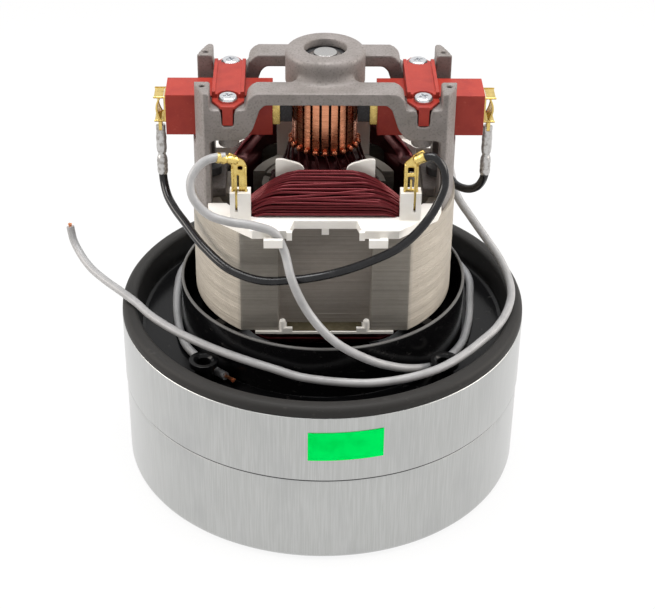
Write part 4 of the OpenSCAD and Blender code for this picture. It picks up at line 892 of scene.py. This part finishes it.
levels = [(STACK_LOW + pitch * (k + h), d) for k in range(SHEETS)
          for h, d in ((0, JOINT_DEEP), (0.22, sunk[k]), (0.8, sunk[k]))] + [(STACK_TOP, 0.1)]
put("lamination_stack", *block([mirrored(outer_quarter), mirrored(inner_quarter), bolt_hole + [BOLT_X, 0],
                                bolt_hole - [BOLT_X, 0]], levels),
    lamination_steel, "lamination_steel", ["stator_core"], crease=25)

# %% [markdown]
# ## Field coils
# Each coil is one enamelled wire, wound in a flat loop round a pole: up one slot, over the top, down
# the other slot and back underneath. A station on it is a share across the coil (0 at the flange, 1 at
# the crest) and a lap round the loop. The wire climbs the shares as it goes round. A plump core fills
# what lies below the outer turns, in a darker enamel that is painted shade, and a few turns wander, as
# hand-fed wire does.

# %% The surface that the turns lie on
COIL_R = 35.6
COIL_DEEP = 4.8
ANGLE_FRONT = 45.5
ANGLE_SIDE = 23.0
CORNER_FLANGE = 6.0
CORNER_CREST = 26.0
CORNER_CREST_IN = 22.5
END_FLANGE = 29.0
END_CREST = 24.2
END_UNDER = 33.0
POLE_Y = 22.6
RUN = 0.2
BULGE = 3.2
OVER_FLANGE = 4.0
OVER_CREST = 14.0
OVER_SINK = 0.8
UNDER_FLANGE = 4.6
UNDER_CREST = 8.5
UNDER_SINK = 2.6
ARCH_FLANGE = 1.2
ARCH_CREST = 2.9
LEAN = 1.7


def between(a, b, t):
    """From a to b, evenly, as t goes from 0 to 1."""
    return a + (b - a) * t


def coil_point(share, depth, lap):
    """A quarter of a lap has an upright run, a corner and half an end turn. In the corner x and z follow
    a quarter ellipse, and y goes from the slot's radius to the end turn's place. The other quarters
    mirror it."""
    share, depth, lap = np.broadcast_arrays(share, depth, lap)
    quarter = np.floor(4 * lap % 4)
    part = 4 * lap % 4 - quarter
    step = np.where(quarter % 2 == 0, part, 1 - part)
    upper = quarter < 2
    flip = np.where((quarter == 1) | (quarter == 2), -1, 1)
    angle = np.radians(between(ANGLE_FRONT, ANGLE_SIDE, share))
    radius = COIL_R - depth * COIL_DEEP
    slot_x = radius * np.cos(angle)
    slot_y = -radius * np.sin(angle)
    width = between(CORNER_FLANGE, between(CORNER_CREST, CORNER_CREST_IN, depth), share)
    bend = np.clip((step - RUN) / (1 - 2 * RUN), 0, 1) * np.pi / 2
    bulge = between(END_FLANGE, END_CREST, share) + BULGE * share * (1 - share)
    end_y = np.where(upper, -between(bulge, POLE_Y, depth), -between(END_UNDER, POLE_Y, share))
    rise_over = OVER_FLANGE + OVER_CREST * share - OVER_SINK * depth
    sink_under = np.minimum(UNDER_SINK, 1.4 + 2 * share)
    rise_under = UNDER_FLANGE + UNDER_CREST * share - depth * sink_under
    rise = np.where(upper, rise_over, rise_under)
    corner_x = slot_x - width + width * np.cos(bend)
    x = np.where(step > 1 - RUN, corner_x * np.clip((1 - step) / RUN, 0, 1), corner_x)
    middle = (STACK_LOW + STACK_TOP) / 2
    foot = np.where(upper, STACK_TOP, STACK_LOW)
    run = between(middle, foot, np.clip(step / RUN, 0, 1))
    arch = np.where(upper, np.sin(bend) ** between(ARCH_FLANGE, ARCH_CREST, share), np.sin(bend))
    lean = np.where(upper, 1 - (1 - np.sin(bend)) ** LEAN, np.sin(bend))
    z = run + np.where(upper, 1, -1) * rise * arch
    return np.stack([flip * x, between(slot_y, end_y, lean), z], -1)


print("coil surface ready, from", END_FLANGE, "to", END_CREST, "mm in front of the shaft")

# %% Wind both coils
TURNS = 17
LAP_STEPS = 72
WIRE_R = 0.48
WANDERS_A_LAP = 5
WANDER = 0.014
LIFT = 0.07
WIRE_DEPTH = -0.02
CORE_DEPTH = 0.06
CORE_STEPS = 96
CORE_ROWS = 9
CROSSINGS = 6
CROSSING_LIFT = 0.17


def wound_turns(seed):
    """One wire: its share climbs from 0 to 1 over all turns, with small slow wanderings along the way."""
    luck = np.random.default_rng(seed)
    lap = np.arange(TURNS * LAP_STEPS) / LAP_STEPS
    knots = luck.normal(0, 1, TURNS * WANDERS_A_LAP + 4)
    wander = np.interp(lap * WANDERS_A_LAP, np.arange(len(knots)), knots)
    lift = np.interp(lap * WANDERS_A_LAP + 0.4, np.arange(len(knots)), knots[::-1])
    share = np.clip(lap / TURNS + WANDER * wander, 0.0, 1.0)
    return tube(coil_point(share, WIRE_DEPTH + LIFT * lift, lap), WIRE_R, 8)


def coil_core():
    """A closed ring of sections: the outer face lies just under the wires, the inner face on the pole."""
    shares = np.linspace(0.03, 0.92, CORE_ROWS)
    lap = np.arange(CORE_STEPS)[:, None] / CORE_STEPS
    outer = coil_point(shares[None], CORE_DEPTH, lap)
    inner = coil_point(shares[::-1][None], 1.0, lap)
    points = np.concatenate([outer, inner], 1).reshape(-1, 3)
    return points, ring_faces(CORE_STEPS, 2 * CORE_ROWS, True)


def crossing_wires(seed):
    """Short runs over the top that cross the other turns: their share slides from one side to the other,
    and half a sine wave lifts them over the turns."""
    luck = np.random.default_rng(seed)
    lap = np.linspace(0.06, 0.44, 60)
    slide = np.clip((lap - 0.1) / 0.3, 0, 1)
    depth = -CROSSING_LIFT * np.sin(np.pi * (lap - 0.06) / 0.38)
    return [tube(coil_point(between(start, end, slide), depth, lap), WIRE_R, 8)
            for start, end in luck.uniform(0.15, 0.95, (CROSSINGS, 2))]


PLACES = {"front": np.array([1, 1, 1]), "back": np.array([-1, -1, 1])}
for place, seed in (("front", 3), ("back", 11)):
    face = PLACES[place]
    wire = merged(wound_turns(seed), *crossing_wires(seed))
    put("field_turns_" + place, wire[0] * face, wire[1], red_enamel_wire, "red_enamel_wire",
        ["field_winding_" + place], crease=80)
    core = coil_core()
    # The core gets the darker enamel: painted shade under and between the turns.
    put("field_bundle_" + place, core[0] * face, core[1], painted_shade_enamel, "red_enamel_wire",
        ["field_core_" + place], crease=80)

# %% [markdown]
# ## Cast bracket
# A casting has no sharp edge: the metal has to leave its mould. So a copy of the bracket is made again
# from small cubes with Remesh, and Smooth then melts every edge round by the same half millimetre.

# %% Melt the bracket's edges
CUBE = 0.55
SOFTENINGS = 2


def cast(name, node, made, voxel, rounds):
    """A copy of a CAD solid, joined, rebuilt in cubes of `voxel` mm and smoothed `rounds` times."""
    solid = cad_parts[node]
    mesh = solid.data.copy()
    mesh.name = name
    mesh.transform(solid.matrix_world)
    shape = bmesh.new()
    shape.from_mesh(mesh)
    bmesh.ops.remove_doubles(shape, verts=shape.verts, dist=1e-6)
    shape.to_mesh(mesh)
    shape.free()
    mesh.materials.clear()
    mesh.materials.append(made)
    obj = add(name, mesh)
    cubes = obj.modifiers.new("cubes", "REMESH")
    cubes.mode = "VOXEL"
    cubes.voxel_size = voxel * MM
    cubes.use_smooth_shade = True
    soften = obj.modifiers.new("soften", "SMOOTH")
    soften.factor = 0.5
    soften.iterations = rounds
    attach(obj, FRAME)
    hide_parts(node)
    print(name, "rebuilt in cubes of", voxel, "mm")


cast("cast_bracket", "motor_bracket", cast_alloy, CUBE, SOFTENINGS)

# %% [markdown]
# ## Terminals and brush caps
# The brass parts are stamped from strip and folded. A `slab` is a piece of strip with rounded rims, and
# the stamped terminals are outlines with openings, one strip thick. The back of the motor is the front
# turned half round, so the same pieces serve twice.

# %% Stamp the field terminals
def slab(low, high, edge=0.15):
    """A box with cut corners and rounded rims between two of its corners."""
    (x0, y0, z0), (x1, y1, z1) = low, high
    outline = rounded([[x0, z0], [x1, z0], [x1, z1], [x0, z1]], edge, 2)
    return block([outline], rimmed(y0, y1, edge), (0, 2, 1))


def window(x0, z0, x1, z1, edge=0.3):
    """The outline of an oblong opening with cut corners."""
    return rounded([[x0, z0], [x1, z0], [x1, z1], [x0, z1]], edge, 2)


def straight(start, end, radii):
    """A round bar between two points whose radius follows a list of values along it."""
    t = np.linspace(0, 1, len(radii))[:, None]
    return tube(np.array(start) * (1 - t) + np.array(end) * t, radii, 16)


STRIP = (-29.75, -28.95)
STRIP_RIM = 0.2
right_strip = rounded([[25.6, 114], [30, 114], [30, 131.4], [32.7, 133.5], [31.5, 136.9], [29.8, 136.2],
                       [25.6, 132.2]], 0.6)
right_terminal = merged(
    block([right_strip, window(26.7, 128.5, 28.7, 130.6), window(26.8, 122.6, 28.9, 127.2)],
          rimmed(*STRIP, STRIP_RIM), (0, 2, 1)),
    slab((25.5, -30.5, 118), (26.1, -28.9, 132)), slab((29.5, -30.5, 118), (30.1, -28.9, 131.5)),
    slab((27.5, -30.1, 122.3), (28.2, -29.3, 126.2)),
    straight((28.6, -29.7, 133.2), (32.0, -30.4, 135.2), [1.2, 1.6, 1.8, 1.7, 1.8, 1.85, 1.8]))
left_strip = rounded([[-30.6, 114], [-25.8, 114], [-25.8, 131.6], [-26.6, 133], [-31.2, 135.8],
                      [-32.4, 133.6], [-30.6, 131.2]], 0.6)
left_terminal = merged(
    block([left_strip, window(-28.9, 120.5, -28.3, 127.6, 0.2), window(-28.6, 129.6, -27, 131, 0.5)],
          rimmed(*STRIP, STRIP_RIM), (0, 2, 1)),
    slab((-30.7, -30.5, 118), (-30.1, -28.9, 130.6)), slab((-26.3, -30.5, 118), (-25.7, -28.9, 131)),
    straight((-28.4, -29.6, 133), (-35.2, -30.7, 134.7),
             [1.1, 1.5, 1.3, 1.6, 1.5, 1.2, 1.75, 1.85, 1.6, 1.85, 1.8]))
for place, side, made in (("front", "right", right_terminal), ("front", "left", left_terminal),
                          ("back", "left", right_terminal), ("back", "right", left_terminal)):
    face = PLACES[place]
    put("terminal_%s_%s" % (place, side), made[0] * face, made[1], brass_sheet, "brass_sheet",
        ["field_terminal_%s_%s" % (place, side)])

# %% Fold a brush cap
CAP_LOW = 134.0
CAP_TOP = 143.3
CAP_IN = 53.0
CAP_OUT = 57.2
CAP_HALF = 4.1
FOLD_FROM = 53.6
FOLD_T = 0.7
FOLD_RIM = 0.25
swell = np.linspace(0, 1, 11)
outer = np.column_stack([55.3 + 1.3 * np.sin(np.pi * swell),
                         CAP_LOW + 0.4 + (CAP_TOP - CAP_LOW - 0.8) * swell])
cap = merged(
    slab((CAP_IN, -CAP_HALF, CAP_LOW), (CAP_IN + 0.8, CAP_HALF, CAP_TOP)),
    slab((FOLD_FROM, -CAP_HALF, CAP_TOP - FOLD_T), (CAP_OUT, CAP_HALF, CAP_TOP), FOLD_RIM),
    slab((FOLD_FROM, -CAP_HALF, CAP_LOW), (CAP_OUT, CAP_HALF, CAP_LOW + FOLD_T), FOLD_RIM),
    block([np.concatenate([outer, outer[::-1] - [FOLD_T, 0]])], rimmed(-3.8, 3.8, STRIP_RIM), (0, 2, 1)),
    slab((54.8, -1.6, 129.6), (56.0, 1.6, CAP_LOW + 0.4)))
print("a cap of", len(cap[1]), "faces")

# %% Squeeze a crimp, and set both on each side
CRIMP_X = 55.4
CRIMP_LOW = 112.5
CRIMP_TOP = 131.0
CRIMP_SIDES = 24
CRIMP_AT = [112.5, 113, 118.4, 119.2, 120.2, 121, 126, 128.5, 131]
CRIMP_WIDE = [1.5, 1.8, 1.8, 1.5, 1.2, 1.5, 1.55, 1.4, 1.2]
PINCH_AT = [119, 122, 127, 131]
PINCH_DEEP = [0.03, 0.16, 0.14, 0.3]


def crimp():
    """Rings down the barrel. The radius follows a list of heights, with ridges where the tool bit, and
    the upper half is pinched: its radius swells and sinks twice round the axis."""
    z = np.linspace(CRIMP_TOP, CRIMP_LOW, 60)
    angle = np.linspace(0, 2 * np.pi, CRIMP_SIDES, endpoint=False)
    width = np.interp(z, CRIMP_AT, CRIMP_WIDE)
    ridge = np.where(z < 119, 0.04 * np.sin(3.6 * z), 0.05 * np.sin(1.6 * z))
    pinch = np.interp(z, PINCH_AT, PINCH_DEEP)
    radius = (width + ridge)[:, None] * (1 - pinch[:, None] * np.cos(2 * angle + 0.5 + 0.12 * z[:, None]))
    radius = np.concatenate([0 * radius[:1], radius, 0 * radius[:1]])
    z = np.concatenate([z[:1], z, z[-1:]])
    height = np.repeat(z[:, None], CRIMP_SIDES, 1)
    points = np.stack([CRIMP_X + radius * np.cos(angle), radius * np.sin(angle), height], -1)
    return points.reshape(-1, 3), ring_faces(len(z), CRIMP_SIDES)


barrel = crimp()
for side, flip in (("left", [-1, 1, 1]), ("right", [1, 1, 1])):
    put("cap_" + side, cap[0] * flip, cap[1], brass_sheet, "brass_sheet", ["brush_cap_" + side])
    put("crimp_" + side, barrel[0] * flip, barrel[1], tinned_steel, "tinned_steel", ["lead_crimp_" + side],
        crease=70)

# %% [markdown]
# ## Commutator and armature
# The commutator is a ring of 22 copper bars. Each ends in a hook that holds the end of a coil, squeezed
# round by a welding electrode. One bar and one hook are drawn and turned round the shaft. The coil ends
# below are bundles of wire that leave one slot, dip towards the shaft and enter another slot a third of
# a turn further on.

# %% Turn one bar into a commutator
BARS = 22
COMM_R = 11.2
BAR_IN = 7.35
BAR_LOW = 125.0
BAR_TOP = 146.0
BAR_GAP = 0.5
BAR_RIM = 0.2
FIRST_BAR = 0.14
HOOK_AT = (11.45, 0, 126.0)
HOOK_SIZE = (1.05, 0.95, 1.2)


def spun(part, angle):
    """A part turned about Z."""
    c, s = math.cos(angle), math.sin(angle)
    return part[0] @ np.array([[c, s, 0], [-s, c, 0], [0, 0, 1]]), part[1]


def ball(centre, radii):
    """A sphere of rings, stretched to three radii and set at its centre."""
    angle = np.linspace(-np.pi / 2, np.pi / 2, 9)
    points, faces = turned(np.column_stack([np.cos(angle), np.sin(angle)]), 12, False)
    return points * radii + centre, faces


half_bar = math.degrees(math.pi / BARS - BAR_GAP / COMM_R / 2)
wedge = np.concatenate([arc((0, 0), COMM_R, -half_bar, half_bar, 4),
                        arc((0, 0), BAR_IN, half_bar, -half_bar, 4)])
bar = block([wedge], rimmed(BAR_LOW, BAR_TOP, BAR_RIM))
hook = ball(HOOK_AT, HOOK_SIZE)
bar_angles = np.arange(BARS) * 2 * np.pi / BARS + FIRST_BAR
put("commutator_ring", *merged(*[spun(part, angle) for angle in bar_angles for part in (bar, hook)]),
    commutator_copper, "commutator_copper", ["commutator_bars"], "rotor", 35)

# %% Wind the armature
SLOTS = 11
SLOT_AT = 16.2
ROD_R = 2.9
END_R = 18.6
END_DIP = 6.2
END_WIRE_R = 0.5
LAYERS = 4
LAYER_T = 0.5
REACH = 4
RISER_R = 0.45
RISER_FOOT = np.array([13.4, 2.6, 118])
RISER_TOP = np.array([11.6, 0, 126])


def end_turn(start, layer, foot, rise):
    """A wire from one slot to another: its angle goes evenly, radius and height follow half a sine wave."""
    t = np.linspace(0, 1, 26)
    wave = np.sin(np.pi * t)
    angle = start + 2 * np.pi * REACH / SLOTS * t
    radius = END_R - LAYER_T * layer - (END_DIP - LAYER_T * layer) * wave ** 0.9
    height = foot + rise * (1.2 + layer) * wave ** 0.7
    return tube(np.column_stack([radius * np.cos(angle), radius * np.sin(angle), height]), END_WIRE_R, 6)


def end_turns(foot, rise):
    """Wires from every slot and from halfway between, in layers that each start a little further on."""
    return [end_turn(2 * np.pi * (k + 0.22 * layer) / SLOTS / 2, layer, foot, rise)
            for k in range(2 * SLOTS) for layer in range(LAYERS)]


wires = end_turns(110.0, 2.4) + end_turns(70.0, -1.6)
climb = np.linspace(0, 1, 6)[:, None]
riser = tube(RISER_FOOT * (1 - climb) + RISER_TOP * climb, RISER_R, 6)
risers = [spun(riser, angle) for angle in bar_angles]
rod = tube(np.array([[SLOT_AT, 0, z] for z in np.linspace(69.5, 110.5, 4)]), ROD_R, 12)
rods = [spun(rod, 2 * np.pi * k / SLOTS) for k in range(SLOTS)]
upper_fill = turned([[6.2, 109.6], [17.6, 109.6], [17.6, 111], [14, 116], [11, 122.5], [6.2, 122.5]], 48)
lower_fill = turned([[6.2, 70.4], [17.6, 70.4], [17.6, 69], [14, 64.5], [6.2, 62]], 48)
# The armature's wire gets the darker enamel: painted shade, deep under the bracket.
put("armature_turns", *merged(*wires, *risers, *rods, upper_fill, lower_fill), painted_shade_enamel,
    "red_enamel_wire", ["armature_winding"], "rotor", 80)

# %% [markdown]
# ## Springs, sticker and painted shade
# Three small things finish the motor. A brush spring is a helix. The sticker is a strip of vinyl that
# follows the casing's curve. A thin dark brown sheet on each lower insulator is painted shade on its top.

# %% Brush springs
CURLS = 8
SPRING_R = 2.4
SPRING_WIRE_R = 0.3
SPRING_FROM = 30.35
SPRING_TO = 52.85
BRUSH_Z = 138.0
curl = np.linspace(0, CURLS * 2 * np.pi, CURLS * 20)
helix = np.column_stack([np.linspace(SPRING_FROM, SPRING_TO, len(curl)), SPRING_R * np.cos(curl),
                         BRUSH_Z + SPRING_R * np.sin(curl)])
for side, flip in (("left", -1), ("right", 1)):
    coil = tube(helix * [flip, 1, 1], SPRING_WIRE_R, 8)
    spring = put("spring_" + side, *coil, spring_steel, "spring_steel", ["brush_spring_" + side])
    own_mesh(spring)

# %% Sticker
STICKER_W = 25.4
STICKER_LOW = 43.7
STICKER_TOP = 55.0
STICKER_AT = math.radians(-84.5)
STICKER_TILT = 0.35
strip = np.linspace(0, 1, 30)[:, None]
across = np.array([0, 0, 0.04, 0.5, 0.96, 1, 1])
out = np.array([0.02, 0.13, 0.17, 0.17, 0.17, 0.13, 0.02])
angle = STICKER_AT + (strip - 0.5) * STICKER_W / CASING_R + 0 * across
radius = CASING_R + out + 0 * strip
height = STICKER_LOW + (STICKER_TOP - STICKER_LOW) * across + STICKER_TILT * (strip - 0.5)
rows = np.stack([radius * np.cos(angle), radius * np.sin(angle), height], -1)
first = np.repeat(rows[:1].mean(1, keepdims=True), len(across), 1)
last = np.repeat(rows[-1:].mean(1, keepdims=True), len(across), 1)
rows = np.concatenate([first, rows, last])
put("sticker", rows.reshape(-1, 3), ring_faces(len(rows), len(across)), green_vinyl, "green_vinyl",
    ["green_sticker"], crease=60)

# %% Painted shade on the lower insulators
SHADE_SHEET_T = 0.15
SHADE_SHEET_HALF = 12.8
SHADE_SHEET_IN = -30.3
SHADE_SHEET_OUT = -35.6
shade_sheet_line = rounded([[-SHADE_SHEET_HALF, SHADE_SHEET_OUT], [SHADE_SHEET_HALF, SHADE_SHEET_OUT], [SHADE_SHEET_HALF, SHADE_SHEET_IN],
                      [-SHADE_SHEET_HALF, SHADE_SHEET_IN]], 0.3)
shade_sheet_strip = block([shade_sheet_line], [(STACK_LOW, 0), (STACK_LOW + SHADE_SHEET_T, 0)])
for place, face in PLACES.items():
    # A thin dark brown sheet on each lower insulator: painted shade where the stack shades its top.
    put("painted_shade_sheet_" + place, shade_sheet_strip[0] * face, shade_sheet_strip[1], painted_shade_sheet, "brown_moulding")

# %% [markdown]
# ## Solids that keep their shape
# Most of the motor's solid parts are right as they are. They get their finish, and their edges are
# broken by a tenth to half a millimetre, which is what catches the light.

# %% Dress the CAD solids
dress(black_moulding, 0.25, "end_plate")
dress(stage_steel, 0, "stage_plate", "return_guide", "bearing_retainer")
dress(dark_steel, 0.3, "stator_bolts")
dress(white_moulding, 0.5, "upper_former_front", "upper_former_back", "lower_former_front",
      "lower_former_back")
dress(brass_sheet, 0.2, "brush_tube_left", "brush_tube_right")
dress(zinc_screw, 0.15, "holder_screws")
dress(red_phenolic, 0.4, "brush_holder_left", "brush_holder_right")
dress(bearing_steel, 0.2, "upper_bearing_outer", "lower_bearing_outer", "upper_bearing_inner",
      "lower_bearing_inner", "upper_bearing_balls", "lower_bearing_balls")
dress(bearing_shield, 0, "upper_bearing_shield", "lower_bearing_shield")
dress(shaft_steel, 0.3, "shaft")
dress(lamination_steel, 0.2, "armature_core")
dress(brown_moulding, 0.2, "commutator_hub")
dress(carbon, 0.3, "carbon_brush_left", "carbon_brush_right")
dress(fan_aluminium, 0, "fan_stage_1", "fan_stage_2", "fan_spacer_lower", "fan_spacer_upper", "fan_nut",
      "fan_washer")
